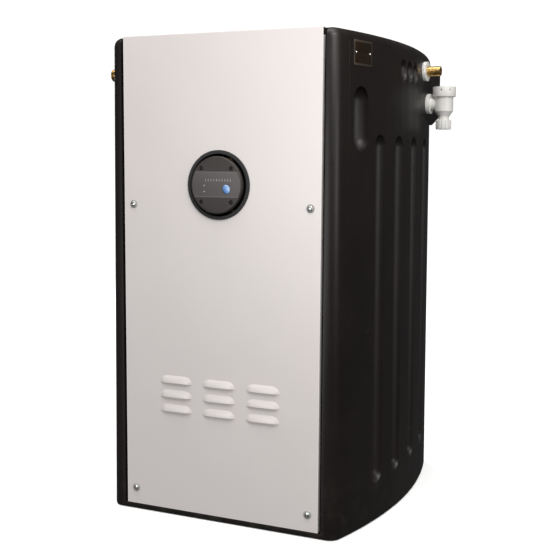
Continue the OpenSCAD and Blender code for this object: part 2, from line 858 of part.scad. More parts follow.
module outlet_tail() color(brass_colour) {
    translate([outlet_face_x, pump_y, outlet_z]) rotate([0, 90, 0]) difference() {
        union() {
            translate([0, 0, -outlet_flange_t])
                cylinder(h = outlet_flange_t, r = outlet_flange_r, $fn = 6);
            translate([0, 0, -outlet_flange_t - outlet_tail_l])
                cylinder(h = outlet_tail_l + outlet_flange_t + outlet_socket, r = outlet_r);
        }
        translate([0, 0, -outlet_flange_t - outlet_tail_l - cut])
            cylinder(h = outlet_tail_l + outlet_flange_t + 2 * cut, r = pipe_r - pipe_t);
        translate([0, 0, boss_proud]) cylinder(h = outlet_socket, r = pipe_r + run_gap);
    }
}

// Float valve: a threaded body through the wall, with a forked end that carries the arm
valve_nut_r = 21.5;
valve_nut_t = 8;
valve_backnut_r = 15;
// Radius of the tail where the nuts' threads run into it
thread_h = 0.4;
tail_core_r = tail_r - thread_h;
tail_bore_r = 6.5;
valve_l = 66;
valve_r = 14;
fork_l = 26;
fork_gap = 18;
fork_t = 3.5;
fork_h = 13;
piston_r = 8;
orifice_r = 3.5;
orifice_l = 4;
piston_travel = 4.4;
piston_stem_r = 3.2;
seat_depth = 32;
arm_pin_r = 2.5;
arm_pin_drop = 11;
nose_l = 8;
nose_r = 2.5;
arm_head_r = 6.5;
arm_head_w = 8;
arm_r = 3;
float_stroke = 32;
pad_in_x = pad_x - wall;
valve_end_x = pad_in_x - valve_l;
seat_x = valve_end_x + seat_depth;
arm_pin_x = valve_end_x - fork_l * 2 / 3;
nose_a = float_stroke / 2;
piston_x = arm_pin_x + nose_r * cos(nose_a) + slip_gap
    - (arm_pin_drop - piston_stem_r - nose_r * sin(nose_a)) * tan(nose_a);
piston_shoulder_x = arm_pin_x + arm_head_r + slip_gap;
arm_pin_z = inlet_z - arm_pin_drop;

module along_x(x, y, z) {
    translate([x, y, z]) rotate([0, 90, 0]) children();
}

module float_valve_body() color(brass_colour) {
    difference() {
        union() {
            along_x(pad_in_x - valve_nut_t, inlet_y, inlet_z)
                cylinder(h = wall + 2 * valve_nut_t + tail_l, r = tail_core_r);
            along_x(pad_x + valve_nut_t, inlet_y, inlet_z) cylinder(h = tail_l, r = tail_r);
            along_x(valve_end_x, inlet_y, inlet_z)
                cylinder(h = valve_l - valve_nut_t, r = valve_r);
            translate([valve_end_x - fork_l, inlet_y - fork_gap / 2 - fork_t,
                inlet_z - arm_pin_drop - fork_h / 2])
                cube([fork_l + fork_t, fork_gap + 2 * fork_t, fork_h]);
        }
        along_x(seat_x, inlet_y, inlet_z)
            cylinder(h = pad_x - seat_x + valve_nut_t + tail_l + cut, r = orifice_r);
        along_x(seat_x + orifice_l, inlet_y, inlet_z)
            cylinder(h = pad_x - seat_x + valve_nut_t + tail_l + cut, r = tail_bore_r);
        along_x(valve_end_x - fork_l - cut, inlet_y, inlet_z)
            cylinder(h = seat_x - valve_end_x + fork_l + cut, r = piston_r + run_gap);
        translate([valve_end_x - fork_l - cut, inlet_y - fork_gap / 2,
            inlet_z - arm_pin_drop - fork_h]) cube([fork_l + cut, fork_gap, 2 * fork_h]);
        translate([arm_pin_x, inlet_y, arm_pin_z]) rotate([90, 0, 0]) translate([0, 0, -fork_gap])
            cylinder(h = 2 * fork_gap, r = arm_pin_r + press_gap);
        translate([seat_x - orifice_l, inlet_y, inlet_z - valve_r - cut])
            cylinder(h = valve_r, r = orifice_r);
    }
}

module float_valve_nuts() color(white_colour) {
    along_x(pad_in_x - valve_nut_t, inlet_y, inlet_z) rotate([0, 0, 30]) difference() {
        cylinder(h = valve_nut_t, r = valve_backnut_r, $fn = 6);
        translate([0, 0, -cut]) cylinder(h = valve_nut_t + 2 * cut, r = tail_core_r + run_gap);
    }
    along_x(pad_x, inlet_y, inlet_z) difference() {
        cylinder(h = valve_nut_t, r = valve_nut_r);
        translate([0, 0, -cut]) cylinder(h = valve_nut_t + 2 * cut, r = tail_core_r + run_gap);
        for (a = [0:30:330]) rotate([0, 0, a]) translate([valve_nut_r, 0, -cut])
            cylinder(h = valve_nut_t + 2 * cut, r = slot_w);
    }
}

module arm_pin() color(steel_colour) {
    translate([arm_pin_x, inlet_y, arm_pin_z]) rotate([90, 0, 0])
        translate([0, 0, -fork_gap / 2 - fork_t]) cylinder(h = fork_gap + 2 * fork_t, r = arm_pin_r);
}

// Things that hang on the arm's pin, with their local X along the arm
module on_arm() {
    translate([arm_pin_x, inlet_y, arm_pin_z]) rotate([0, 180 - float_drop, 0]) children();
}

module float_arm() color(brass_colour) {
    difference() {
        union() {
            translate([arm_pin_x, inlet_y, arm_pin_z]) rotate([90, 0, 0])
                translate([0, 0, -arm_head_w / 2]) cylinder(h = arm_head_w, r = arm_head_r);
            on_arm() rotate([0, 90, 0]) cylinder(h = float_arm_l - float_r, r = arm_r);
            translate([arm_pin_x, inlet_y, arm_pin_z]) rotate([0, -float_stroke / 2, 0]) {
                translate([-nose_r, -nose_r, 0]) cube([2 * nose_r, 2 * nose_r, nose_l]);
                translate([0, nose_r, nose_l]) rotate([90, 0, 0]) cylinder(h = 2 * nose_r, r = nose_r);
            }
        }
        translate([arm_pin_x, inlet_y, arm_pin_z]) rotate([90, 0, 0])
            translate([0, 0, -arm_head_w]) cylinder(h = 2 * arm_head_w, r = arm_pin_r + run_gap);
    }
}

module float_ball() color("#2b6fb0") {
    difference() {
        on_arm() union() {
            translate([float_arm_l, 0, 0]) sphere(r = float_r);
            translate([float_arm_l - float_r - fork_t, 0, 0]) rotate([0, 90, 0])
                cylinder(h = 2 * fork_t, r = arm_head_r);
        }
        on_arm() rotate([0, 90, 0]) cylinder(h = float_arm_l - float_r + fork_t / 2, r = arm_r + press_gap);
    }
}

module valve_piston() color(white_colour) {
    along_x(piston_x, inlet_y, inlet_z)
        cylinder(h = seat_x - run_gap - piston_travel - piston_x, r = piston_stem_r);
    along_x(piston_shoulder_x, inlet_y, inlet_z)
        cylinder(h = seat_x - run_gap - piston_travel - piston_shoulder_x, r = piston_r);
}

// Screened overflow: a tee with a cap over an air gap and a nut for the pipe
spigot_r = 10.75;
flange_r = 22.5;
flange_t = 8;
branch_r = 13.5;
branch_bore_r = 8.5;
tee_half_h = 17;
cone_h = 13;
neck_r = 12;
neck_l = 24;
cap_r = 26;
cap_h = 22;
cap_t = 3;
screen_t = 1;
tee_wall = 3.5;
overflow_nut_r = 17.5;
overflow_nut_l = 20;
nut_lip_l = 4;
tee_x = pad_x + tee_reach;
neck_z = -tee_half_h - cone_h - neck_l;
backnut_r = 20;
backnut_t = 8;

module at_tee(z) {
    translate([tee_x, overflow_y, overflow_z + z]) children();
}

module overflow_tee() color(white_colour) {
    difference() {
        union() {
            at_tee(0) rotate_extrude() polygon([[0, tee_half_h], [tee_r, tee_half_h],
                [tee_r, -tee_half_h], [neck_r, -tee_half_h - cone_h], [neck_r, neck_z],
                [0, neck_z]]);
            along_x(pad_x, overflow_y, overflow_z) cylinder(h = tee_reach, r = branch_r);
            along_x(pad_x, overflow_y, overflow_z) cylinder(h = flange_t, r = flange_r);
            along_x(pad_x - wall - 2 * backnut_t, overflow_y, overflow_z)
                cylinder(h = wall + 2 * backnut_t + cut, r = spigot_r);
        }
        along_x(pad_x - wall - 2 * backnut_t - cut, overflow_y, overflow_z)
            cylinder(h = wall + 2 * backnut_t + tee_reach, r = branch_bore_r);
        at_tee(-tee_half_h) cylinder(h = 2 * tee_half_h + cut, r = tee_r - tee_wall);
        at_tee(neck_z - cut) cylinder(h = neck_l + cone_h + 2 * cut, r = branch_bore_r);
        at_tee(neck_z - cut) cylinder(h = overflow_nut_l + cut, r = socket_r);
    }
}

module overflow_cap() color(white_colour) {
    at_tee(tee_half_h) difference() {
        translate([0, 0, screen_t + seat_gap - cap_t]) cylinder(h = cap_h, r = cap_r);
        translate([0, 0, -cap_t]) cylinder(h = cap_t + screen_t + seat_gap, r = tee_r + run_gap);
        translate([0, 0, -cut]) cylinder(h = cap_h - cap_t - cut, r = tee_r - tee_wall);
        for (a = [0:45:315]) rotate([0, 0, a]) translate([0, -cap_t / 2, cap_h / 2])
            cube([2 * cap_r, cap_t, cap_t]);
    }
}

module overflow_screen() color(steel_colour) {
    at_tee(tee_half_h) difference() {
        cylinder(h = screen_t, r = tee_r);
        for (x = [-3:3], y = [-3:3]) if (norm([x, y]) * mesh_pitch < tee_r - tee_wall)
            translate([x * mesh_pitch, y * mesh_pitch, -cut]) cylinder(h = screen_t + 2 * cut,
                r = mesh_hole_r);
    }
}
mesh_pitch = 4.4;
mesh_hole_r = 1.5;

module overflow_nut() color(white_colour) {
    at_tee(neck_z - nut_lip_l) difference() {
        cylinder(h = overflow_nut_l, r = overflow_nut_r);
        translate([0, 0, nut_lip_l]) cylinder(h = overflow_nut_l, r = neck_r + run_gap);
        translate([0, 0, -cut]) cylinder(h = overflow_nut_l, r = socket_r);
        for (a = [0:30:330]) rotate([0, 0, a]) translate([overflow_nut_r, 0, -cut])
            cylinder(h = overflow_nut_l + 2 * cut, r = slot_w);
    }
}

module bulkhead_nuts() color(rubber_colour) {
    along_x(pad_in_x - backnut_t, overflow_y, overflow_z) difference() {
        cylinder(h = backnut_t, r = backnut_r, $fn = 6);
        translate([0, 0, -cut]) cylinder(h = backnut_t + 2 * cut, r = spigot_r + run_gap);
    }
    translate([suction_x, bay_back_y + wall, pump_z]) rotate([-90, 0, 0]) difference() {
        cylinder(h = backnut_t, r = suction_flange_r, $fn = 6);
        translate([0, 0, -cut]) cylinder(h = backnut_t + 2 * cut, r = suction_r + run_gap);
    }
}

// The pump stands on a plate with four rubber feet. Its axis runs along X, ports at X = 0.
foot_r = 12;
foot_top_share = 0.8;
base_left = 150;
base_right = 100;
base_half_y = 56;
base_lip = 8;
foot_places = [for (x = [foot_r - base_left, base_right - foot_r], y = [-1, 1])
    [x, y * (base_half_y - foot_r)]];

module pump_feet() color(rubber_colour) {
    for (p = foot_places) translate([p[0], pump_y + p[1], bay_floor]) difference() {
        cylinder(h = foot_h, r1 = foot_r, r2 = foot_r * foot_top_share);
        translate([0, 0, foot_h / 2]) cylinder(h = foot_h, r = small_screw_r);
    }
}

module pump_base() color(steel_colour) {
    translate([-base_left, pump_y - base_half_y, bay_floor + foot_h]) difference() {
        cube([base_left + base_right, 2 * base_half_y, base_lip]);
        translate([-cut, base_t, base_t])
            cube([base_left + base_right + 2 * cut, 2 * (base_half_y - base_t), base_lip]);
        for (p = foot_places) translate([p[0] + base_left, p[1] + base_half_y, -cut])
            cylinder(h = base_t + 2 * cut, r = small_screw_r + slip_gap);
    }
}

// Turned pieces on the pump's axis: profile points are [radius, place along X]
module on_axis(x = 0) {
    along_x(x, pump_y, pump_z) children();
}

module turned(points) {
    on_axis() rotate_extrude() polygon(points);
}

stage_count = 3;
stool_left = 30;
stool_right = 20;
flange_w = 8;
pump_flange_r = 73;
motor_flange_r = 64;
waist_r = 46;
chamber_r = 40;
stool_wall = 8;
sleeve_t = 1.5;
sleeve_l = stage_count * stage_l;
port_r = 20;
port_rise = 92;
port_top = pump_z + port_rise;
bearing_r = 17.5;
bearing_w = 11;
bearing_gap = 0.03;
inner_ring_r = 10.6;
bearing_seal_gap = 0.3;
seal_seat_r = 13.5;
seal_seat_t = 6;
seal_bore_r = 8.5;
seal_head_l = 13;
seal_head_r = 14;
suction_end = stool_right + sleeve_l;
nose_x = 28;
nose_port_r = 24;
suction_r = 16.5;
suction_bore_r = 12.5;
stay_r = 4;
stay_circle_r = 67;
stay_head_r = 7;
stay_head_t = 5;
stay_angles = [45, 135, 225, 315];

module discharge_housing() color(casting_colour) {
    difference() {
        union() {
            turned([[0, -stool_left], [motor_flange_r, -stool_left],
                [motor_flange_r, flange_w - stool_left], [waist_r, 2 * flange_w - stool_left],
                [waist_r, stool_right - 2 * flange_w],
                [stay_circle_r - stay_head_r - cut, stool_right - flange_w],
                [pump_flange_r, stool_right - flange_w], [pump_flange_r, stool_right],
                [0, stool_right]]);
            translate([0, pump_y, pump_z]) cylinder(h = port_rise, r = thread_r);
            translate([0, pump_y, pump_z]) cylinder(h = port_rise - thread_l, r = port_r);
            for (side = [-1, 1]) translate([-flange_w, pump_y + side * base_half_y / 2 - flange_w,
                bay_floor + foot_h + base_t])
                cube([2 * flange_w, 2 * flange_w, pump_rise - waist_r / 2]);
        }
        turned([[0, stool_wall - flange_w], [chamber_r, stool_wall - flange_w],
            [chamber_r, stool_right + cut], [0, stool_right + cut]]);
        turned([[0, -stool_left - cut], [bearing_r + bearing_gap, -stool_left - cut],
            [bearing_r + bearing_gap, bearing_w - stool_left], [0, bearing_w - stool_left]]);
        turned([[0, -stool_left], [shaft_r + cut, -stool_left], [shaft_r + cut, 0], [0, 0]]);
        turned([[0, -seal_seat_t], [seal_seat_r + run_gap, -seal_seat_t],
            [seal_seat_r + run_gap, cut], [0, cut]]);
        translate([0, pump_y, pump_z]) cylinder(h = port_rise + cut, r = flow_r);
        for (a = stay_angles) on_axis(stool_right - 2 * flange_w) rotate([0, 0, a])
            translate([stay_circle_r, 0, 0]) cylinder(h = 2 * flange_w + cut, r = stay_r + slip_gap);
    }
}

module pump_sleeve() color(steel_colour) {
    on_axis(stool_right) pipe(sleeve_r, sleeve_r - sleeve_t, sleeve_l);
}

module suction_cover() color(casting_colour) {
    difference() {
        union() {
            turned([[0, suction_end], [pump_flange_r, suction_end],
                [pump_flange_r, suction_end + flange_w], [sleeve_r - flange_w, suction_end + flange_w],
                [nose_port_r, suction_end + 2 * flange_w], [nose_port_r, suction_end + nose_x],
                [0, suction_end + nose_x]]);
            at_plugs(suction_end + flange_w / 2) cylinder(h = 1.5 * flange_w, r = plug_boss_r);
        }
        turned([[0, suction_end - cut], [suction_bore_r, suction_end - cut],
            [suction_bore_r, suction_end + nose_x / 2], [0, suction_end + nose_x / 2]]);
        turned([[0, suction_end + nose_x / 2 - cut], [suction_r + run_gap,
            suction_end + nose_x / 2 - cut], [suction_r + run_gap, suction_end + nose_x + cut],
            [0, suction_end + nose_x + cut]]);
        at_plugs(suction_end - cut) cylinder(h = 3 * flange_w, r = plug_r + run_gap);
        for (a = stay_angles) on_axis(suction_end - cut) rotate([0, 0, a])
            translate([stay_circle_r, 0, 0]) cylinder(h = flange_w + 2 * cut, r = stay_r + slip_gap);
    }
}
plug_boss_r = 10;
plug_r = 6;
plug_l = 12;
plug_head_r = 8.5;
plug_head_h = 6;
plug_circle_r = 38;

// The vent plug over the suction port and the drain plug under it
module at_plugs(x) {
    for (side = [-1, 1]) on_axis(x) translate([side * plug_circle_r, 0, 0]) children();
}

module pump_plugs() color(brass_colour) {
    at_plugs(suction_end + 2 * flange_w - plug_l) {
        cylinder(h = plug_l + plug_head_h, r = plug_r);
        translate([0, 0, plug_l]) cylinder(h = plug_head_h, r = plug_head_r, $fn = 6);
    }
}

module stay_bolts() color(steel_colour) {
    for (a = stay_angles) on_axis(stool_right - flange_w - stay_head_t) rotate([0, 0, a])
        translate([stay_circle_r, 0, 0]) {
            cylinder(h = sleeve_l + 2 * flange_w + 2 * stay_head_t, r = stay_r);
            cylinder(h = stay_head_t, r = stay_head_r, $fn = 6);
            translate([0, 0, sleeve_l + 2 * flange_w + stay_head_t])
                cylinder(h = stay_head_t, r = stay_head_r, $fn = 6);
        }
}

// One stage: a cup with guide vanes, and a closed impeller inside it
cup_t = 2;
cup_r = sleeve_r - sleeve_t - seat_gap;
hub_r = 11;
eye_r = 17;
impeller_w = 12;
shroud_t = 1.5;
vane_t = 1.6;
vane_count = 6;
guide_vane_count = 8;

module stage_chambers() color(steel_colour) {
    for (i = [0:stage_count - 1]) on_axis(stool_right + i * stage_l) difference() {
        union() {
            rotate_extrude() polygon([[hub_r + seat_gap, 0], [cup_r, 0], [cup_r, stage_l],
                [cup_r - cup_t, stage_l], [cup_r - cup_t, cup_t], [hub_r + seat_gap, cup_t]]);
            for (k = [0:guide_vane_count - 1]) rotate([0, 0, k * 360 / guide_vane_count])
                translate([eye_r, -vane_t / 2, 0])
                    cube([cup_r - eye_r - cup_t / 2, vane_t, stage_l - impeller_w - cup_t - 2 * cut]);
        }
        cylinder(h = cut, r = shaft_r);
    }
}

// Curved vanes: each point turns a little more as the radius grows
vane_steps = 5;
vane_sweep = 55;

function vane_side(side) = [for (i = [0:vane_steps]) let (
    r = eye_r + (impeller_r - cut / 2 - eye_r) * i / vane_steps,
    a = vane_sweep * i / vane_steps + side * vane_t / r * 90 / PI) [r * cos(a), r * sin(a)]];

module impeller_vanes() {
    back = vane_side(-1);
    for (k = [0:vane_count - 1]) rotate([0, 0, k * 360 / vane_count])
        translate([0, 0, shroud_t / 2]) linear_extrude(impeller_w - shroud_t)
            polygon(concat(vane_side(1), [for (i = [vane_steps:-1:0]) back[i]]));
}

module impellers() color("#c9ccd0") {
    for (i = [0:stage_count - 1])
        on_axis(stool_right + (i + 1) * stage_l - impeller_w - cut) difference() {
            union() {
                rotate_extrude() polygon([[shaft_r + press_gap, 0], [impeller_r, 0],
                    [impeller_r, shroud_t], [hub_r, shroud_t], [hub_r, impeller_w],
                    [shaft_r + press_gap, impeller_w]]);
                rotate_extrude() polygon([[eye_r, impeller_w - shroud_t],
                    [impeller_r, impeller_w - shroud_t], [impeller_r, impeller_w],
                    [eye_r, impeller_w]]);
                impeller_vanes();
            }
            translate([0, 0, -cut]) cylinder(h = impeller_w + 2 * cut, r = shaft_r + press_gap);
        }
}

// The motor: barrel with fins, end shield, fan and cover, on the left of the pump
barrel_t = 7;
fin_t = 2.5;
fin_count = 24;
motor_x = -stool_left;
motor_end = motor_x - motor_l;
stack_l = 62;
stack_x = motor_x - (motor_l + stack_l) / 2;
stator_bore_r = 32;
air_gap = 0.5;
winding_l = 14;
shield_t = 6;
hub_l = 13;
shield_hub_r = 23;
fan_l = 10;
fan_r = 48;
fan_hub_r = 13;
fan_t = 2;
fan_gap = 4;
blade_count = 8;
cover_side_t = 2;
cover_r = motor_r + cover_side_t;
cover_wall = 1.5;
fan_cover_l = 42;
box_w = 88;
box_d = 72;
box_h = 30;
box_t = 3;
box_foot_clear = 3;
box_rise = motor_r + fin_h + box_foot_clear;
box_x = motor_x - motor_l / 2;
box_foot_w = 60;
box_foot_d = 50;

module motor_housing() color(casting_colour) {
    difference() {
        union() {
            on_axis(motor_end) cylinder(h = motor_l, r = motor_r);
            on_axis(motor_end + fin_t) for (k = [0:fin_count - 1])
                rotate([0, 0, (k + 1 / 2) * 360 / fin_count]) translate([motor_r - fin_t, -fin_t / 2, 0])
                    cube([fin_h + fin_t, fin_t, motor_l - 2 * fin_t]);
            translate([box_x - box_foot_w / 2, pump_y - box_foot_d / 2, pump_z])
                cube([box_foot_w, box_foot_d, box_rise]);
        }
        on_axis(motor_end - cut) cylinder(h = motor_l + 2 * cut, r = motor_r - barrel_t);
        translate([box_x, pump_y, pump_z]) cylinder(h = box_rise + cut, r = cable_r + cut);
    }
}

module motor_end_shield() color(casting_colour) {
    on_axis(motor_end - shield_t) difference() {
        union() {
            cylinder(h = shield_t, r = motor_r);
            cylinder(h = shield_t + hub_l, r = shield_hub_r);
            cylinder(h = shield_t + fin_t, r = motor_r - barrel_t - slip_gap);
        }
        translate([0, 0, shield_t + hub_l - bearing_w])
            cylinder(h = bearing_w + cut, r = bearing_r + bearing_gap);
        translate([0, 0, -cut]) cylinder(h = shield_t + hub_l + 2 * cut, r = shaft_r + cut);
    }
}
rear_bearing_x = motor_end + hub_l - bearing_w;

module stator() color("#8a5a3a") {
    on_axis(stack_x) difference() {
        union() {
            cylinder(h = stack_l, r = motor_r - barrel_t - press_gap);
            translate([0, 0, -winding_l])
                cylinder(h = stack_l + 2 * winding_l, r = motor_r - barrel_t - fin_t);
        }
        translate([0, 0, -winding_l - cut])
            cylinder(h = stack_l + 2 * winding_l + 2 * cut, r = stator_bore_r + fin_t);
        cylinder(h = stack_l, r = stator_bore_r);
    }
    on_axis(stack_x) pipe(motor_r - barrel_t - fin_t, stator_bore_r, stack_l);
}

module rotor() color("#7a7d80") {
    on_axis(stack_x) difference() {
        union() {
            cylinder(h = stack_l, r = stator_bore_r - air_gap);
            translate([0, 0, -fin_t]) cylinder(h = stack_l + 2 * fin_t, r = stator_bore_r - 2 * fin_t);
        }
        translate([0, 0, -fin_t - cut])
            cylinder(h = stack_l + 2 * fin_t + 2 * cut, r = shaft_r + press_gap);
    }
}

module pump_shaft() color(steel_colour) {
    shaft_left = motor_end - shield_t - fan_gap - fan_l;
    on_axis(shaft_left) difference() {
        cylinder(h = suction_end - shaft_left - cut, r = shaft_r);
        translate([0, 0, -cut]) cylinder(h = fan_l, r1 = small_screw_r + cut, r2 = small_screw_r);
    }
}

module at_bearings() {
    for (x = [motor_x, rear_bearing_x]) on_axis(x) children();
}

module bearing_outer_rings() color(steel_colour) {
    at_bearings() pipe(bearing_r, inner_ring_r + bearing_seal_gap, bearing_w);
}

module bearing_inner_rings() color(steel_colour) {
    at_bearings() pipe(inner_ring_r, shaft_r + press_gap, bearing_w);
}

module seal_seat() color(white_colour) {
    on_axis(-seal_seat_t) pipe(seal_seat_r, seal_bore_r, seal_seat_t + cut);
}

module seal_head() color(rubber_colour) {
    on_axis(cut + seat_gap) pipe(seal_head_r, shaft_r + press_gap, seal_head_l);
}

module fan() color(rubber_colour) {
    on_axis(motor_end - shield_t - fan_gap - fan_l) difference() {
        union() {
            cylinder(h = fan_l, r = fan_hub_r);
            translate([0, 0, fan_l - fan_t]) cylinder(h = fan_t, r = fan_r);
            for (k = [0:blade_count - 1]) rotate([0, 0, k * 360 / blade_count])
                translate([0, -fan_t / 2, -fan_l]) cube([fan_r, fan_t, 2 * fan_l - fan_t / 2]);
        }
        translate([0, 0, -2 * fan_l]) cylinder(h = 2 * fan_l, r = fan_hub_r + fan_t);
        translate([0, 0, -cut]) cylinder(h = fan_l + 2 * cut, r = shaft_r + press_gap);
    }
}

module fan_cover() color(rubber_colour) {
    on_axis(motor_end - fan_cover_l + fin_t) difference() {
        cylinder(h = fan_cover_l, r = cover_r);
        translate([0, 0, cover_wall]) cylinder(h = fan_cover_l, r = motor_r + seat_gap);
        for (k = [0:3]) difference() {
            translate([0, 0, -cut]) pipe(grille_r + (k + 1 / 2) * grille_pitch, grille_r + k * grille_pitch,
                cover_wall + 2 * cut);
            for (a = [0, 90]) rotate([0, 0, a]) translate([-cover_r, -grille_rib / 2, -2 * cut])
                cube([2 * cover_r, grille_rib, cover_wall + 4 * cut]);
        }
    }
}
grille_r = 14;
grille_pitch = 9;
grille_rib = 5;

module terminal_box() color(rubber_colour) {
    translate([box_x, pump_y, pump_z + box_rise]) difference() {
        linear_extrude(box_h) polygon(rounded(box_w, box_d, 2 * box_t));
        translate([0, 0, box_t]) linear_extrude(box_h) polygon(rounded(box_w - 2 * box_t,
            box_d - 2 * box_t, box_t));
        translate([0, 0, -cut]) cylinder(h = box_t + 2 * cut, r = cable_r + cut);
        translate([-box_w / 2 - cut, 0, box_h / 2]) rotate([0, 90, 0])
            cylinder(h = box_t + 2 * cut, r = gland_thread_r + run_gap);
    }
}

module terminal_box_lid() color(rubber_colour) {
    translate([box_x, pump_y, pump_z + box_rise + box_h]) difference() {
        linear_extrude(box_t) polygon(rounded(box_w, box_d, 2 * box_t));
        for (x = [-1, 1], y = [-1, 1])
            translate([x * (box_w / 2 - 2 * box_t), y * (box_d / 2 - 2 * box_t), box_t / 2])
                cylinder(h = box_t, r = small_screw_r);
    }
}

// Cable glands: on the terminal box, under the drum, and on the tank's left side
gland_thread_r = 6;
gland_r = 9;
gland_l = 14;
gland_thread_l = 8;
dome_low_share = 0.8;
dome_high_share = 0.55;
entry_hex_share = 0.8;
cable_r = 3.5;
gland_x = -30;
gland_y = drum_y + drum_d / 4;
drum_gland_z = window_z - drum_r;

// A gland that points up, with its hexagon's seat at the origin
module gland(thread_r, thread_l, hex_r) {
    difference() {
        union() {
            translate([0, 0, -thread_l]) cylinder(h = thread_l + cut, r = thread_r);
            cylinder(h = gland_l / 2, r = hex_r, $fn = 6);
            translate([0, 0, gland_l / 2]) cylinder(h = gland_l / 2, r1 = hex_r * dome_low_share,
                r2 = hex_r * dome_high_share);
        }
        translate([0, 0, -thread_l - cut]) cylinder(h = thread_l + gland_l + 2 * cut, r = cable_r + run_gap);
    }
}

module cable_glands() color(rubber_colour) {
    translate([box_x - box_w / 2, pump_y, pump_z + box_rise + box_h / 2]) rotate([0, -90, 0])
        gland(gland_thread_r, gland_thread_l, gland_r);
    translate([gland_x, gland_y, drum_gland_z]) mirror([0, 0, 1])
        gland(gland_thread_r, gland_thread_l, gland_r);
    translate([entry_face_x, pump_y, entry_z]) rotate([0, -90, 0])
        gland(entry_r, 2 * gland_thread_l, entry_boss_r * entry_hex_share);
}

// Cable from the controller down to the motor: the points between its two glands
cable_route = [[-30, -292, 560], [-34, -286, 500], [-50, -270, 420], [-90, -250, 360],
    [-130, -240, 320], [-160, -236, 285], [-172, -235, 262], [-174, -235, 246]];
cable_rings = 8;

module pump_cable() color(rubber_colour) {
    start = [gland_x, gland_y, drum_gland_z - gland_l / 2];
    end_x = box_x - box_w / 2 - gland_l / 2;
    end_z = pump_z + box_rise + box_h / 2;
    path = concat([start, start - [0, 0, gland_l]], cable_route,
        [[end_x - gland_l, pump_y, end_z], [end_x, pump_y, end_z]]);
    sweep(path, cable_r, cable_rings);
}

function unit(v) = v / norm(v);
function heading(path, i) = let (n = len(path) - 1)
    unit(unit(path[min(i + 1, n)] - path[i == n ? n - 1 : i]) + unit(path[max(i, 1)] - path[max(i - 1, 0)]));

// A tube of n sides along a path that never runs along Y
module sweep(path, r, n) {
    rings = [for (i = [0:len(path) - 1]) let (d = heading(path, i),
        u = unit(cross([0, 1, 0], d)), v = cross(d, u))
        [for (k = [0:n - 1]) let (a = -360 * k / n) path[i] + r * (cos(a) * u + sin(a) * v)]];
    loft([for (i = [len(rings) - 1:-1:0]) rings[i]]);
}

// Suction line: tank outlet, isolating valve and elbow, all at the pump's height
elbow_r = 38;
suction_x = suction_end + nose_x + elbow_r;
suction_flange_r = 26;
suction_flange_t = 10;
suction_stub = 16;
valve_len = 60;
valve_body_r = 24;
ball_r = 17.5;
ball_flat = 3;
spindle_r = 5;
spindle_l = 40;
lever_l = 56;
lever_w = 14;
lever_t = 3;
valve_front = pump_y + elbow_r + suction_stub;
valve_rear = valve_front + valve_len;
valve_mid = valve_front + valve_len / 2;

module along_y(y) {
    translate([suction_x, y, pump_z]) rotate([-90, 0, 0]) children();
}

module suction_elbow() color(rubber_colour) {
    difference() {
        union() {
            on_axis(suction_end + nose_x / 2) cylinder(h = nose_x / 2, r = suction_r);
            translate([suction_end + nose_x, pump_y + elbow_r, pump_z]) rotate([0, 0, -90])
                rotate_extrude(angle = 90) translate([elbow_r, 0]) circle(r = suction_r);
            along_y(pump_y + elbow_r) cylinder(h = suction_stub, r = suction_r);
        }
        on_axis(suction_end + nose_x / 2 - cut) cylinder(h = nose_x / 2 + cut, r = suction_bore_r);
        translate([suction_end + nose_x, pump_y + elbow_r, pump_z]) rotate([0, 0, -90])
            rotate_extrude(angle = 90) translate([elbow_r, 0]) circle(r = suction_bore_r);
        along_y(pump_y + elbow_r) cylinder(h = suction_stub + cut, r = suction_bore_r);
    }
}

module isolating_valve() color(brass_colour) {
    difference() {
        union() {
            along_y(valve_front) rotate([0, 0, 30]) cylinder(h = valve_len, r = valve_body_r - cut, $fn = 6);
            along_y(valve_mid - ball_r) cylinder(h = 2 * ball_r, r = valve_body_r);
            translate([suction_x, valve_mid, pump_z])
                cylinder(h = valve_body_r + 2 * ball_flat, r = 2 * spindle_r);
        }
        along_y(valve_front - cut) cylinder(h = valve_len + 2 * cut, r = suction_bore_r);
        translate([suction_x, valve_mid, pump_z]) sphere(r = ball_r + run_gap);
        translate([suction_x, valve_mid, pump_z])
            cylinder(h = valve_body_r + 2 * ball_flat + cut, r = spindle_r + run_gap);
    }
}

module valve_ball() color(steel_colour) {
    difference() {
        union() {
            translate([suction_x, valve_mid, pump_z]) sphere(r = ball_r);
            translate([suction_x, valve_mid, pump_z]) cylinder(h = spindle_l, r = spindle_r);
        }
        along_y(valve_mid - 2 * ball_r) cylinder(h = 4 * ball_r, r = suction_bore_r);
    }
}

module valve_lever() color("#b33a2e") {
    translate([suction_x, valve_mid, pump_z + valve_body_r + 2 * ball_flat + seat_gap])
        difference() {
            union() {
                cylinder(h = lever_t, r = lever_w / 2 + cut);
                translate([-lever_w / 2, 0, 0]) cube([lever_w, lever_l - lever_w / 2, lever_t]);
                translate([0, lever_l - lever_w / 2, 0]) cylinder(h = lever_t, r = lever_w / 2);
            }
            translate([0, 0, -cut]) cylinder(h = lever_t + 2 * cut, r = spindle_r + press_gap);
        }
}

module tank_outlet() color(brass_colour) {
    length = bay_back_y + wall + 2 * backnut_t - valve_rear;
    along_y(valve_rear) difference() {
        union() {
            cylinder(h = length, r = suction_r);
            translate([0, 0, bay_back_y - valve_rear - suction_flange_t]) rotate([0, 0, 30])
                cylinder(h = suction_flange_t, r = suction_flange_r, $fn = 6);
        }
        translate([0, 0, -cut]) cylinder(h = length + 2 * cut, r = suction_bore_r);
    }
}

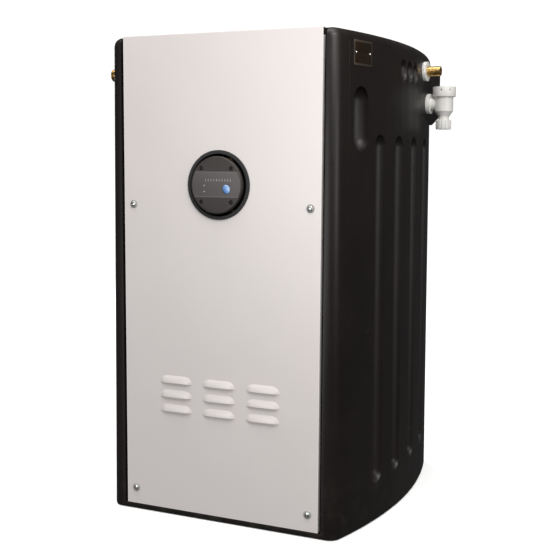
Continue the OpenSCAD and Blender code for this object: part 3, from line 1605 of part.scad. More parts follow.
tank();
tank_lid();
lid_screws();
front_cover();
cover_screws();
cover_washers();
window_grommet();
rating_plate();
plate_rivets();
controller_body();
controller_face();
controller_screws();
display_overlay();
reset_button();
indicator_lights();
check_poppet();
union_nuts();
float_valve_body();
float_valve_nuts();
float_arm();
float_ball();
arm_pin();
valve_piston();
overflow_tee();
overflow_cap();
overflow_screen();
overflow_nut();
bulkhead_nuts();
pump_feet();
pump_base();
discharge_housing();
pump_sleeve();
suction_cover();
stay_bolts();
stage_chambers();
impellers();
pump_shaft();
seal_seat();
seal_head();
pump_plugs();
motor_housing();
motor_end_shield();
stator();
rotor();
bearing_outer_rings();
bearing_inner_rings();
fan();
fan_cover();
terminal_box();
terminal_box_lid();
cable_glands();
pump_cable();
riser_pipe();
outlet_pipe();
outlet_tail();
suction_elbow();
isolating_valve();
valve_ball();
valve_lever();
tank_outlet();
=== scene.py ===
"""Looks of a home water booster: a moulded break tank, its sheet cover, controller and fittings."""
from __future__ import annotations

import json
import logging
import math
from dataclasses import dataclass, field
from enum import Enum

import bmesh
import bpy
from mathutils import Matrix, Vector

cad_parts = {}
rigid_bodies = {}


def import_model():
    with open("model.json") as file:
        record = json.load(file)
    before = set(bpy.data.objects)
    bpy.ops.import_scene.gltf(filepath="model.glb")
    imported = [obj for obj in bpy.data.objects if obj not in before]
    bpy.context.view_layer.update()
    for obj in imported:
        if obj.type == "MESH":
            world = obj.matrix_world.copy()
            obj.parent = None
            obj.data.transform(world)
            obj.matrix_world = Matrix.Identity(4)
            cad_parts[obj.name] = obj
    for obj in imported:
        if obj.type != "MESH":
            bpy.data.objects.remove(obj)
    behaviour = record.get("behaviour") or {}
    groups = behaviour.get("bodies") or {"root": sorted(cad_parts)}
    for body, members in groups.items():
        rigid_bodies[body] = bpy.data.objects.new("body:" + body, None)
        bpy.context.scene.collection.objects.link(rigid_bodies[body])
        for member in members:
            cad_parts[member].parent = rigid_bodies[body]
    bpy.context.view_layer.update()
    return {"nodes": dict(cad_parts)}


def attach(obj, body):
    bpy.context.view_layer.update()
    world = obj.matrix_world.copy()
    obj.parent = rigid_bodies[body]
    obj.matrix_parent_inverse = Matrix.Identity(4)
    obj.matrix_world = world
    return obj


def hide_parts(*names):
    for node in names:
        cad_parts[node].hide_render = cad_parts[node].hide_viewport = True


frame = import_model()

log = logging.getLogger("booster")

Colour = tuple[float, float, float]
Point = tuple[float, float, float]
Profile = list[tuple[float, float]]
# Depth of a bump in metres, and the share of it that shows.
Relief = tuple[float, float]
MM = 0.001
# Distance in metres under which vertices are joined, and bend in degrees under which faces are.
WELD = 2e-6
FLAT_BEND = 0.6


class Body(Enum):
    """The rigid bodies that pieces ride on."""

    SET = "tank_set"
    ROTOR = "pump_rotor"
    BUTTON = "reset_button"
    POPPET = "check_poppet"
    FLOAT = "float"
    LEVER = "isolating_lever"


# Shader boards.


class Value:
    """A number that varies over a surface. Arithmetic on it adds Math nodes to its board."""

    def __init__(self, board: NodeMaker, socket: bpy.types.NodeSocket) -> None:
        """Wraps one socket.

        Args:
            board: The board that the socket's node is on.
            socket: The output socket that gives the number.
        """
        self.board = board
        self.socket = socket

    def _maths(self, operation: str, *terms: Value | float) -> Value:
        """Adds one Math node.

        Args:
            operation: The node's operation.
            terms: Its inputs in order.

        Returns:
            The node's result.
        """
        node = self.board.node("ShaderNodeMath", {"operation": operation}, dict(enumerate(terms)))
        return Value(self.board, node.outputs[0])

    def __add__(self, other: Value | float) -> Value:
        """Sum."""
        return self._maths("ADD", self, other)

    def __radd__(self, other: float) -> Value:
        """Sum with a number on the left."""
        return self._maths("ADD", other, self)

    def __sub__(self, other: Value | float) -> Value:
        """Difference."""
        return self._maths("SUBTRACT", self, other)

    def __rsub__(self, other: float) -> Value:
        """Difference from a number on the left."""
        return self._maths("SUBTRACT", other, self)

    def __mul__(self, other: Value | float) -> Value:
        """Product."""
        return self._maths("MULTIPLY", self, other)

    def __abs__(self) -> Value:
        """Size without its sign."""
        return self._maths("ABSOLUTE", self)

    def larger(self, other: Value | float) -> Value:
        """The larger of two values."""
        return self._maths("MAXIMUM", self, other)

    def step(self, low: float, high: float) -> Value:
        """A smooth step.

        Args:
            low: Where the step starts, at 0.
            high: Where it ends, at 1.

        Returns:
            A value from 0 to 1.
        """
        node = self.board.node(
            "ShaderNodeMapRange",
            {"interpolation_type": "SMOOTHSTEP"},
            {"Value": self, "From Min": low, "From Max": high},
        )
        return Value(self.board, node.outputs["Result"])


class NodeMaker:
    """Adds nodes to a node tree, for materials and for shapes."""

    tree: bpy.types.NodeTree

    def node(
        self, kind: str, settings: dict | None = None, sockets: dict | None = None
    ) -> bpy.types.Node:
        """Adds a node.

        Args:
            kind: The node's type.
            settings: Its settings, set first.
            sockets: Values or links of its inputs, by name or number.

        Returns:
            The node.
        """
        node = self.tree.nodes.new(kind)
        for key, value in (settings or {}).items():
            setattr(node, key, value)
        for key, value in (sockets or {}).items():
            given = value.socket if isinstance(value, Value) else value
            if isinstance(given, bpy.types.NodeSocket):
                self.tree.links.new(given, node.inputs[key])
            else:
                node.inputs[key].default_value = given
        return node


class Board(NodeMaker):
    """The node board of one material."""

    def __init__(self, name: str) -> None:
        """Makes the material with a Principled shader and Object coordinates.

        Args:
            name: The material's name.
        """
        self.material = bpy.data.materials.new(name)
        self.material.use_nodes = True
        self.tree = self.material.node_tree
        self.tree.nodes.clear()
        self.shader = self.node("ShaderNodeBsdfPrincipled")
        self.node("ShaderNodeOutputMaterial", {}, {"Surface": self.shader.outputs["BSDF"]})
        self.place = self.node("ShaderNodeTexCoord").outputs["Object"]
        split = self.node("ShaderNodeSeparateXYZ", {}, {"Vector": self.place})
        self.x, self.y, self.z = (Value(self, split.outputs[i]) for i in range(3))

    def stretched(self, scale: Point, turn: Point = (0.0, 0.0, 0.0)) -> bpy.types.NodeSocket:
        """Object coordinates stretched for a drawn-out pattern.

        Args:
            scale: Factor along each axis.
            turn: Turn about each axis in degrees.

        Returns:
            The mapped coordinates.
        """
        angles = tuple(math.radians(a) for a in turn)
        node = self.node(
            "ShaderNodeMapping", {}, {"Vector": self.place, "Rotation": angles, "Scale": scale}
        )
        return node.outputs["Vector"]

    def noise(
        self, scale: float, detail: float = 3.0, where: bpy.types.NodeSocket | None = None
    ) -> Value:
        """Cloudy noise from 0 to 1, about 0.5.

        Args:
            scale: Clouds to the metre.
            detail: Finer layers.
            where: Coordinates, or None for the object's own.

        Returns:
            The noise.
        """
        node = self.node(
            "ShaderNodeTexNoise",
            {},
            {"Vector": where or self.place, "Scale": scale, "Detail": detail, "Roughness": 0.55},
        )
        return Value(self, node.outputs[0])

    def cells(self, scale: float) -> Value:
        """Distance to the nearest of scattered points, for pebbled grain."""
        node = self.node("ShaderNodeTexVoronoi", {}, {"Vector": self.place, "Scale": scale})
        return Value(self, node.outputs["Distance"])

    def facing_up(self) -> Value:
        """How far the surface faces upwards, from 0 to 1."""
        normal = self.node("ShaderNodeNewGeometry").outputs["Normal"]
        split = self.node("ShaderNodeSeparateXYZ", {}, {"Vector": normal})
        return Value(self, split.outputs[2]).larger(0.0)

    def mix(
        self, low: Colour | bpy.types.NodeSocket, high: Colour | bpy.types.NodeSocket, share: Value
    ) -> bpy.types.NodeSocket:
        """A blend of two colours.

        Args:
            low: Colour at share 0.
            high: Colour at share 1.
            share: The blend.

        Returns:
            The blended colour.
        """
        ends = [c if isinstance(c, bpy.types.NodeSocket) else (*c, 1.0) for c in (low, high)]
        node = self.node(
            "ShaderNodeMix",
            {"data_type": "RGBA", "clamp_factor": True},
            {0: share, 6: ends[0], 7: ends[1]},
        )
        return node.outputs[2]

    def bump(self, height: Value, depth: float, strength: float) -> bpy.types.NodeSocket:
        """A bumped normal.

        Args:
            height: Height over the surface from 0 to 1.
            depth: Real height of 1, in metres.
            strength: Share of the bump that shows.

        Returns:
            The normal.
        """
        node = self.node(
            "ShaderNodeBump", {}, {"Height": height, "Distance": depth, "Strength": strength}
        )
        return node.outputs["Normal"]

    def finish(
        self,
        colour: bpy.types.NodeSocket,
        rough: Value,
        normal: bpy.types.NodeSocket,
        constants: dict[str, float],
        metal: Value | None = None,
    ) -> bpy.types.Material:
        """Feeds the shader.

        Args:
            colour: Base colour.
            rough: Roughness.
            normal: Bumped normal.
            constants: Shader sockets that are the same all over.
            metal: Metallic share where it varies.

        Returns:
            The finished material.
        """
        links = {"Base Color": colour, "Roughness": rough.socket, "Normal": normal}
        if metal is not None:
            links["Metallic"] = metal.socket
        for key, socket in links.items():
            self.tree.links.new(socket, self.shader.inputs[key])
        for key, value in constants.items():
            self.shader.inputs[key].default_value = value
        return self.material


# Finishes.


@dataclass(frozen=True)
class Finish:
    """What every finish has: its name, the record's slot and its main colour."""

    name: str
    slot: str
    colour: Colour

    def dress(self, board: Board) -> bpy.types.Material:
        """Builds the material on a board."""
        raise NotImplementedError

    def material(self) -> bpy.types.Material:
        """The finish's material, made once."""
        made = bpy.data.materials.get(self.name)
        return made or self.dress(Board(self.name))


@dataclass(frozen=True)
class RotoMoulding(Finish):
    """Dark tank plastic with pebbled grain, drawn-out sheen and a little dust."""

    worn: Colour = (0.017, 0.0125, 0.011)
    dust: Colour = (0.11, 0.097, 0.086)
    rough: float = 0.40
    grain: float = 520.0
    foot: float = 0.16
    relief: Relief = (0.00022, 0.55)

    def dress(self, board: Board) -> bpy.types.Material:
        """Builds the material on a board."""
        clouds = board.noise(5.0, 4.0).step(0.35, 0.7)
        drawn = board.noise(1.0, 4.0, board.stretched((26.0, 26.0, 1.4)))
        pebbles = board.cells(self.grain)
        speck = board.noise(1500.0, 2.0)
        foot = 1.0 - board.z.step(0.0, self.foot)
        lying = board.facing_up() * 0.5 + foot * 0.5
        dusty = board.noise(34.0, 6.0).step(0.46, 0.75) * lying * 0.35
        scuff = board.noise(1.0, 6.0, board.stretched((9.0, 9.0, 60.0))).step(0.66, 0.74) * 0.22
        body = board.mix(self.colour, self.worn, clouds * 0.6 + speck * 0.25)
        body = board.mix(body, self.dust, (dusty + scuff * 0.35).larger(0.0))
        rough = self.rough + (drawn - 0.5) * 0.16 + speck * 0.05 + dusty * 0.4
        height = pebbles * 0.6 + speck * 0.4
        constants = {"Specular IOR Level": 0.42, "IOR": 1.5}
        return board.finish(body, rough, board.bump(height, *self.relief), constants)


@dataclass(frozen=True)
class CoatedSheet(Finish):
    """Satin powder coat on folded sheet, with a painted highlight along its folds and painted light
    paling it to the top right.
    """

    # Paler tone of the painted light towards the top right.
    warm: Colour = (0.85, 0.79, 0.765)
    # Colour of the painted highlight along the folds.
    edge: Colour = (0.93, 0.89, 0.87)
    half_width: float = 0.2215
    rough: float = 0.36
    fold_highlight_band: tuple[float, float] = (0.0022, 0.0002)
    top_fold_highlight_band: tuple[float, float] = (0.9975, 0.9996)
    relief: Relief = (0.00006, 0.35)

    def dress(self, board: Board) -> bpy.types.Material:
        """Builds the material on a board."""
        # Painted light: the sheet is paler towards the top right.
        painted_light_share = (board.x * 0.9 + board.z * 0.8).step(-0.1, 1.1)
        smudge = board.noise(7.0, 5.0).step(0.35, 0.75)
        peel = board.noise(420.0, 2.0)
        fleck = board.noise(2600.0, 1.0)
        # Painted highlight in a thin band along the side folds and the top fold.
        inner, outer = self.fold_highlight_band
        side = abs(board.x).step(self.half_width - inner, self.half_width - outer)
        top = board.z.step(*self.top_fold_highlight_band)
        body = board.mix(self.colour, self.warm, painted_light_share * 0.75 + (smudge - 0.5) * 0.12)
        body = board.mix(body, self.edge, side.larger(top) * 0.7)
        rough = self.rough + (smudge - 0.5) * 0.07 + (fleck - 0.5) * 0.08
        height = peel * 0.8 + fleck * 0.2
        constants = {"Coat Weight": 0.15, "Coat Roughness": 0.3}
        return board.finish(body, rough, board.bump(height, *self.relief), constants)


@dataclass(frozen=True)
class Metal(Finish):
    """Turned, drawn or pressed metal with tool marks and patches of tarnish."""

    tarnish: Colour = (0.25, 0.2, 0.14)
    rough: float = 0.3
    marks: Point = (900.0, 60.0, 60.0)
    age: float = 0.35
    relief: Relief = (0.00005, 0.5)

    def dress(self, board: Board) -> bpy.types.Material:
        """Builds the material on a board."""
        lines = board.noise(1.0, 2.0, board.stretched(self.marks))
        patches = board.noise(70.0, 6.0).step(0.42, 0.75)
        pits = board.noise(900.0, 3.0)
        body = board.mix(self.colour, self.tarnish, patches * self.age + (lines - 0.5) * 0.12)
        rough = self.rough + patches * 0.16 + (lines - 0.5) * 0.14 + (pits - 0.5) * 0.05
        height = lines * 0.7 + pits * 0.3
        return board.finish(body, rough, board.bump(height, *self.relief), {"Metallic": 1.0})


@dataclass(frozen=True)
class Rubber(Finish):
    """Matt rubber or nylon with fine grain, bloom and dust on top."""

    bloom: Colour = (0.07, 0.065, 0.06)
    rough: float = 0.58
    relief: Relief = (0.00008, 0.5)

    def dress(self, board: Board) -> bpy.types.Material:
        """Builds the material on a board."""
        bloom = board.noise(45.0, 5.0).step(0.4, 0.8)
        grain = board.noise(2200.0, 2.0)
        dust = board.facing_up() * board.noise(160.0, 4.0).step(0.45, 0.8)
        body = board.mix(self.colour, self.bloom, bloom * 0.45 + dust * 0.3)
        rough = self.rough + bloom * 0.1 + (grain - 0.5) * 0.1
        normal = board.bump(grain, *self.relief)
        return board.finish(body, rough, normal, {"Specular IOR Level": 0.45})


@dataclass(frozen=True)
class WhiteMoulding(Finish):
    """White moulded plastic, a little yellowed, with soft sink marks."""

    aged: Colour = (0.80, 0.76, 0.66)
    rough: float = 0.34
    relief: Relief = (0.00008, 0.4)

    def dress(self, board: Board) -> bpy.types.Material:
        """Builds the material on a board."""
        age = board.noise(24.0, 4.0).step(0.35, 0.8)
        speck = board.noise(700.0, 3.0).step(0.72, 0.8)
        sink = board.noise(110.0, 2.0)
        body = board.mix(self.colour, self.aged, age * 0.35 + speck * 0.25)
        rough = self.rough + age * 0.08 + (sink - 0.5) * 0.08
        constants = {"Subsurface Weight": 0.06, "Subsurface Radius": (0.004, 0.003, 0.002)}
        return board.finish(body, rough, board.bump(sink, *self.relief), constants)


@dataclass(frozen=True)
class PaintedCasting(Finish):
    """Enamel over a sand casting, chipped through to metal here and there."""

    bare: Colour = (0.42, 0.42, 0.43)
    relief: Relief = (0.00025, 0.6)

    def dress(self, board: Board) -> bpy.types.Material:
        """Builds the material on a board."""
        sand = board.noise(330.0, 5.0)
        chips = board.noise(52.0, 8.0).step(0.70, 0.72)
        shade = board.noise(12.0, 3.0)
        deep = tuple(c * 0.6 for c in self.colour)
        body = board.mix(board.mix(self.colour, deep, shade), self.bare, chips)
        rough = 0.36 + sand * 0.18 + chips * 0.1
        height = sand - chips * 0.4
        return board.finish(body, rough, board.bump(height, *self.relief), {}, metal=chips * 0.9)


@dataclass(frozen=True)
class FaceMoulding(Finish):
    """The controller's warm dark face with a spark-eroded texture."""

    # Paler tone of the painted light towards the top.
    pale: Colour = (0.038, 0.030, 0.027)
    centre_z: float = 0.700
    relief: Relief = (0.00007, 0.6)

    def dress(self, board: Board) -> bpy.types.Material:
        """Builds the material on a board."""
        grain = board.noise(1700.0, 2.0)
        cloud = board.noise(40.0, 3.0)
        # Painted light: the face is paler towards its top.
        painted_light_rise = (board.z - self.centre_z).step(-0.058, 0.058)
        body = board.mix(self.colour, self.pale, painted_light_rise * 0.5 + cloud * 0.3 + grain * 0.2)
        rough = 0.46 + (grain - 0.5) * 0.12 + (cloud - 0.5) * 0.06
        return board.finish(body, rough, board.bump(grain, *self.relief), {})


@dataclass(frozen=True)
class DisplayFilm(Finish):
    """The printed film of the display, with painted light paling it towards its top and right, and
    its printed border.
    """

    # Paler tone of the painted light towards the top and right.
    pale: Colour = (0.100, 0.089, 0.086)
    line: Colour = (0.155, 0.140, 0.135)
    middle_z: float = 0.7015
    half_height: float = 0.0255
    border: tuple[float, float] = (0.0022, 0.0012)
    relief: Relief = (0.00002, 0.3)

    def dress(self, board: Board) -> bpy.types.Material:
        """Builds the material on a board."""
        up = board.z - self.middle_z
        # Painted light: the film is paler towards its top and right.
        painted_light_rise = (up + board.x * 0.35).step(-0.03, 0.035)
        inner, outer = self.border
        rim = abs(up).step(self.half_height - inner, self.half_height - outer)
        film = board.noise(900.0, 2.0)
        smear = board.noise(60.0, 4.0)
        body = board.mix(self.colour, self.pale, painted_light_rise * 0.8 + (smear - 0.5) * 0.15)
        body = board.mix(body, self.line, rim * 0.55)
        rough = 0.3 + smear * 0.1 + (film - 0.5) * 0.06
        return board.finish(body, rough, board.bump(film, *self.relief), {"Coat Weight": 0.2})


@dataclass(frozen=True)
class ButtonGloss(Finish):
    """Glossy blue moulding, paler towards its lit side."""

    # Colour of the painted highlight on the lit side.
    pale: Colour = (0.50, 0.68, 0.92)
    centre: tuple[float, float] = (0.023, 0.6925)
    relief: Relief = (0.00002, 0.2)

    def dress(self, board: Board) -> bpy.types.Material:
        """Builds the material on a board."""
        # Painted highlight: paler towards the upper right, the lit side.
        towards = (board.x - self.centre[0]) * 0.8 + (board.z - self.centre[1]) * 0.6
        painted_light_rise = towards.step(-0.005, 0.010)
        swirl = board.noise(240.0, 2.0)
        body = board.mix(self.colour, self.pale, painted_light_rise * 0.75 + swirl * 0.08)
        rough = 0.3 + swirl * 0.1
        return board.finish(body, rough, board.bump(swirl, *self.relief), {"Coat Weight": 0.2})


@dataclass(frozen=True)
class LampLens(Finish):
    """Milky lamp window with a faint glow of daylight in it."""

    core: Colour = (0.27, 0.26, 0.24)
    relief: Relief = (0.00002, 0.2)

    def dress(self, board: Board) -> bpy.types.Material:
        """Builds the material on a board."""
        milk = board.noise(800.0, 2.0)
        body = board.mix(self.colour, self.core, milk)
        normal = board.bump(milk, *self.relief)
        return board.finish(body, 0.18 + milk * 0.12, normal, {"Coat Weight": 0.5})


@dataclass(frozen=True)
class BlankPlate(Finish):
    """A bare anodised plate with a pale raised border and brushed field."""

    border: Colour = (0.22, 0.18, 0.145)
    middle: tuple[float, float] = (-0.229, 0.957)
    half: tuple[float, float] = (0.033, 0.024)
    border_at: tuple[float, float] = (0.0042, 0.0034)
    relief: Relief = (0.0002, 0.5)

    def dress(self, board: Board) -> bpy.types.Material:
        """Builds the material on a board."""
        inner, outer = self.border_at
        across, up = (
            abs(place - middle).step(half - inner, half - outer)
            for place, middle, half in zip((board.y, board.z), self.middle, self.half)
        )
        rim = across.larger(up)
        brushed = board.noise(1.0, 2.0, board.stretched((40.0, 40.0, 1800.0)))
        stain = board.noise(55.0, 5.0).step(0.4, 0.8)
        stained = board.mix(self.colour, tuple(c * 0.5 for c in self.colour), stain * 0.7)
        body = board.mix(stained, self.border, rim)
        rough = 0.34 + (brushed - 0.5) * 0.2 + stain * 0.1
        height = rim * 0.8 + brushed * 0.2
        return board.finish(body, rough, board.bump(height, *self.relief), {"Metallic": 0.85})


@dataclass(frozen=True)
class StudioFloor(Finish):
    """Plain pale floor paint, lifted a little towards white."""

    lift: float = 0.36
    relief: Relief = (0.0001, 0.1)

    def dress(self, board: Board) -> bpy.types.Material:
        """Builds the material on a board."""
        soft = board.noise(3.0, 3.0)
        body = board.mix(self.colour, tuple(min(1.0, c * 1.02) for c in self.colour), soft)
        constants = {"Emission Color": (1.0, 1.0, 1.0, 1.0), "Emission Strength": self.lift}
        return board.finish(body, 0.85 + soft * 0.05, board.bump(soft, *self.relief), constants)


TANK = RotoMoulding("tank_moulding", "tank_plastic", (0.0095, 0.0070, 0.0062))
COVER = CoatedSheet("coated_sheet", "cover_sheet", (0.72, 0.675, 0.658))
STEEL = Metal("bright_steel", "steel", (0.80, 0.80, 0.80), (0.46, 0.45, 0.43), 0.28)
WASHER = WhiteMoulding("washer_nylon", "washer_plastic", (0.36, 0.36, 0.34), (0.30, 0.29, 0.26))
RUBBER = Rubber("black_rubber", "black_rubber", (0.012, 0.011, 0.011))
NYLON = Rubber("black_nylon", "black_plastic", (0.016, 0.015, 0.015), (0.05, 0.047, 0.045), 0.42)
PLATE = BlankPlate("blank_plate", "plate_metal", (0.085, 0.055, 0.033))
FACE = FaceMoulding("face_moulding", "face_plastic", (0.023, 0.0175, 0.0155))
FILM = DisplayFilm("display_film", "overlay", (0.058, 0.050, 0.048))
BUTTON = ButtonGloss("button_gloss", "blue_plastic", (0.10, 0.27, 0.68))
FLOAT = WhiteMoulding("float_moulding", "blue_plastic", (0.03, 0.13, 0.42), (0.05, 0.17, 0.44))
LAMP = LampLens("lamp_lens", "lamp_glass", (0.40, 0.38, 0.36))
WHITE = WhiteMoulding("white_moulding", "white_plastic", (0.86, 0.85, 0.82))
BRASS = Metal("turned_brass", "brass", (0.80, 0.53, 0.20), (0.36, 0.22, 0.09), 0.26)
CASTING = PaintedCasting("painted_casting", "castings", (0.035, 0.065, 0.090))
WHEEL = Metal("wheel_steel", "impeller_metal", (0.58, 0.58, 0.60), (0.38, 0.36, 0.33), 0.3)
COPPER = Metal("drawn_copper", "copper", (0.78, 0.36, 0.22), (0.30, 0.14, 0.09), 0.28)
IRON = Metal("rotor_iron", "rotor_metal", (0.32, 0.32, 0.33), (0.16, 0.13, 0.11), 0.42)
RED = WhiteMoulding("dipped_red", "red_paint", (0.50, 0.045, 0.03), (0.36, 0.03, 0.02))
FLOOR = StudioFloor("floor_paint", "", (0.93, 0.93, 0.925))


# Mesh tools.


def apply_modifiers(obj: bpy.types.Object) -> None:
    """Gives an object the plain mesh that its modifiers make."""
    bpy.context.view_layer.update()
    graph = bpy.context.evaluated_depsgraph_get()
    made = bpy.data.meshes.new_from_object(obj.evaluated_get(graph))
    obj.modifiers.clear()
    obj.data = made


def finished_mesh(name: str, work: bmesh.types.BMesh) -> bpy.types.Mesh:
    """Turns a working mesh into a plain one.

    Args:
        name: The plain mesh's name.
        work: The working mesh, freed afterwards.

    Returns:
        The plain mesh.
    """
    mesh = bpy.data.meshes.new(name)
    work.to_mesh(mesh)
    work.free()
    return mesh


def new_object(name: str, mesh: bpy.types.Mesh) -> bpy.types.Object:
    """Links a mesh to the scene as an object at the origin."""
    obj = bpy.data.objects.new(name, mesh)
    bpy.context.scene.collection.objects.link(obj)
    return obj


def soften(mesh: bpy.types.Mesh, angle: float) -> None:
    """Shades a mesh smooth, with sharp edges over an angle in degrees."""
    mesh.shade_smooth()
    mesh.set_sharp_from_angle(angle=math.radians(angle))


def place_piece(
    obj: bpy.types.Object, body: Body, finish: Finish, nodes: tuple[str, ...] = ()
) -> None:
    """Gives a finished piece its finish and body, and hides the nodes that it stands for.

    Args:
        obj: The piece.
        body: The body that it rides on.
        finish: Its finish.
        nodes: CAD nodes that it replaces.
    """
    if not obj.data.materials:
        obj.data.materials.append(finish.material())
    else:
        obj.data.materials[0] = finish.material()
    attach(obj, body.value)
    if nodes:
        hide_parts(*nodes)
    log.info("%s rides on %s", obj.name, body.value)


def merged_copy(node: str) -> bmesh.types.BMesh:
    """A CAD node's triangles as one joined mesh.

    Args:
        node: The node's name.

    Returns:
        The mesh to work on.
    """
    work = bmesh.new()
    work.from_mesh(frame["nodes"][node].data)
    bmesh.ops.remove_doubles(work, verts=work.verts, dist=WELD)
    return work


def refined(
    node: str, body: Body, finish: Finish, edge: float = 0.0, angle: float = 32.0
) -> bpy.types.Object:
    """A node's smooth stand-in, with rounded edges where a width is given.

    Args:
        node: The node's name.
        body: The body that it rides on.
        finish: Its finish.
        edge: Width of the rounded edges in metres, or 0.
        angle: Sharpest bend in degrees that is shaded smooth.

    Returns:
        The piece.
    """
    work = merged_copy(node)
    if edge:
        flat = math.radians(FLAT_BEND)
        bmesh.ops.dissolve_limit(work, angle_limit=flat, verts=work.verts[:], edges=work.edges[:])
    mesh = finished_mesh(node + "_skin", work)
    old = mesh.attributes.get("custom_normal")
    if old:
        mesh.attributes.remove(old)
    obj = new_object(node + "_skin", mesh)
    if edge:
        bevel = obj.modifiers.new("edges", "BEVEL")
        bevel.width = edge
        bevel.segments = 2
        bevel.limit_method = "ANGLE"
        bevel.angle_limit = math.radians(angle)
        bevel.use_clamp_overlap = True
        apply_modifiers(obj)
    soften(obj.data, angle)
    place_piece(obj, body, finish, (node,))
    return obj


def paint_nodes(nodes: tuple[str, ...], finish: Finish) -> None:
    """Gives carried-over CAD nodes a finish.

    Args:
        nodes: Their names.
        finish: The finish.
    """
    for node in nodes:
        obj = frame["nodes"][node]
        obj.data.materials.clear()
        obj.data.materials.append(finish.material())
        log.info("%s keeps its CAD shape in %s", node, finish.name)


def lathe(profile: Profile, steps: int) -> bmesh.types.BMesh:
    """Turns a closed half-profile about Z.

    Args:
        profile: Points of radius and height, from the axis out and back to it.
        steps: Flats to the turn.

    Returns:
        The closed mesh.
    """
    work = bmesh.new()
    rings = []
    for radius, height in profile:
        if radius < 1e-9:
            rings.append([work.verts.new((0.0, 0.0, height))])
            continue
        ring = []
        for k in range(steps):
            a = 2 * math.pi * k / steps
            ring.append(work.verts.new((radius * math.cos(a), radius * math.sin(a), height)))
        rings.append(ring)
    for low, high in zip(rings, rings[1:]):
        for k in range(steps):
            j = (k + 1) % steps
            corners = [r[i % len(r)] for r, i in ((low, k), (low, j), (high, j), (high, k))]
            face = list(dict.fromkeys(corners))
            if len(face) > 2:
                work.faces.new(face)
    bmesh.ops.recalc_face_normals(work, faces=work.faces[:])
    return work


def box_mesh(work: bmesh.types.BMesh, low: Point, high: Point, taper: float = 1.0) -> None:
    """Adds a box to a mesh.

    Args:
        work: The mesh.
        low: Lowest corner.
        high: Highest corner.
        taper: Size of its lower end over that of its upper end.
    """
    mid = [(a + b) / 2 for a, b in zip(low, high)]
    size = [b - a for a, b in zip(low, high)]
    for v in bmesh.ops.create_cube(work, size=1.0)["verts"]:
        share = taper if v.co.z < 0 else 1.0
        v.co = Vector((
            mid[0] + v.co.x * size[0] * share,
            mid[1] + v.co.y * size[1] * share,
            mid[2] + v.co.z * size[2],
        ))


# Node-made shapes.


class ShapeTree(NodeMaker):
    """A Geometry Nodes tree with named inputs, whose result becomes a plain mesh."""

    def __init__(self, name: str) -> None:
        """Starts a tree.

        Args:
            name: The tree's name.
        """
        self.name = name
        self.tree = bpy.data.node_groups.new(name, "GeometryNodeTree")
        face = self.tree.interface
        face.new_socket("Geometry", in_out="INPUT", socket_type="NodeSocketGeometry")
        face.new_socket("Geometry", in_out="OUTPUT", socket_type="NodeSocketGeometry")
        self.entry = self.tree.nodes.new("NodeGroupInput")
        self.ids: dict[str, str] = {}

    def size(self, name: str, kind: str = "NodeSocketFloat") -> bpy.types.NodeSocket:
        """Adds a named input.

        Args:
            name: Its name.
            kind: Its socket type.

        Returns:
            The socket that gives its value in the tree.
        """
        made = self.tree.interface.new_socket(name, in_out="INPUT", socket_type=kind)
        self.ids[name] = made.identifier
        return self.entry.outputs[name]

    def close(self, result: bpy.types.NodeSocket) -> None:
        """Ends the tree with plain geometry in the piece's material.

        Args:
            result: The geometry.
        """
        skin = self.size("Material", "NodeSocketMaterial")
        real = self.node("GeometryNodeRealizeInstances", {}, {"Geometry": result})
        done = self.node(
            "GeometryNodeSetMaterial", {}, {"Geometry": real.outputs[0], "Material": skin}
        )
        self.node("NodeGroupOutput", {}, {0: done.outputs[0]})

    def sweep(
        self, line: bpy.types.NodeSocket, radius: bpy.types.NodeSocket, sides: int
    ) -> None:
        """Ends the tree with a round bead along a curve.

        Args:
            line: The curve.
            radius: The bead's radius.
            sides: Flats round the bead.
        """
        section = self.node(
            "GeometryNodeCurvePrimitiveCircle",
            {"mode": "RADIUS"},
            {"Resolution": sides, "Radius": radius},
        )
        swept = self.node(
            "GeometryNodeCurveToMesh",
            {},
            {"Curve": line, "Profile Curve": section.outputs[0], "Fill Caps": True},
        )
        self.close(swept.outputs[0])

    def stand(
        self,
        points: bpy.types.NodeSocket,
        template: bpy.types.NodeSocket,
        axis: str,
        angle: bpy.types.NodeSocket,
    ) -> None:
        """Ends the tree with a template on every point.

        Args:
            points: The points.
            template: The object that is repeated.
            axis: Its own axis that it turns about.
            angle: How far it turns, in radians.
        """
        info = self.node(
            "GeometryNodeObjectInfo", {"transform_space": "ORIGINAL"}, {"Object": template}
        )
        angles = self.node("ShaderNodeCombineXYZ", {}, {axis: angle})
        turn = self.node("FunctionNodeEulerToRotation", {}, {0: angles.outputs[0]})
        placed = self.node(
            "GeometryNodeInstanceOnPoints",
            {},
            {"Points": points, "Instance": info.outputs["Geometry"], "Rotation": turn.outputs[0]},
        )
        self.close(placed.outputs[0])

    def mesh(
        self, name: str, carrier: bpy.types.Mesh, values: dict, finish: Finish, angle: float = 40.0
    ) -> bpy.types.Object:
        """Runs the tree once.

        Args:
            name: The piece's name.
            carrier: Mesh that goes in.
            values: The named inputs' values.
            finish: The piece's finish.
            angle: Sharpest bend in degrees that is shaded smooth.

        Returns:
            An object with the plain result.
        """
        obj = new_object(name, carrier)
        modifier = obj.modifiers.new(self.name, "NODES")
        modifier.node_group = self.tree
        for key, value in {**values, "Material": finish.material()}.items():
            modifier[self.ids[key]] = value
        apply_modifiers(obj)
        obj.data.name = name
        soften(obj.data, angle)
        return obj


def points_mesh(name: str, points: list[Point], chain: bool = False) -> bpy.types.Mesh:
    """A mesh of loose points, or of a chain of edges through them.

    Args:
        name: The mesh's name.
        points: The points in metres.
        chain: True for edges from each point to the next.

    Returns:
        The mesh.
    """
    mesh = bpy.data.meshes.new(name)
    edges = [(i, i + 1) for i in range(len(points) - 1)] if chain else []
    mesh.from_pydata(points, edges, [])
    return mesh


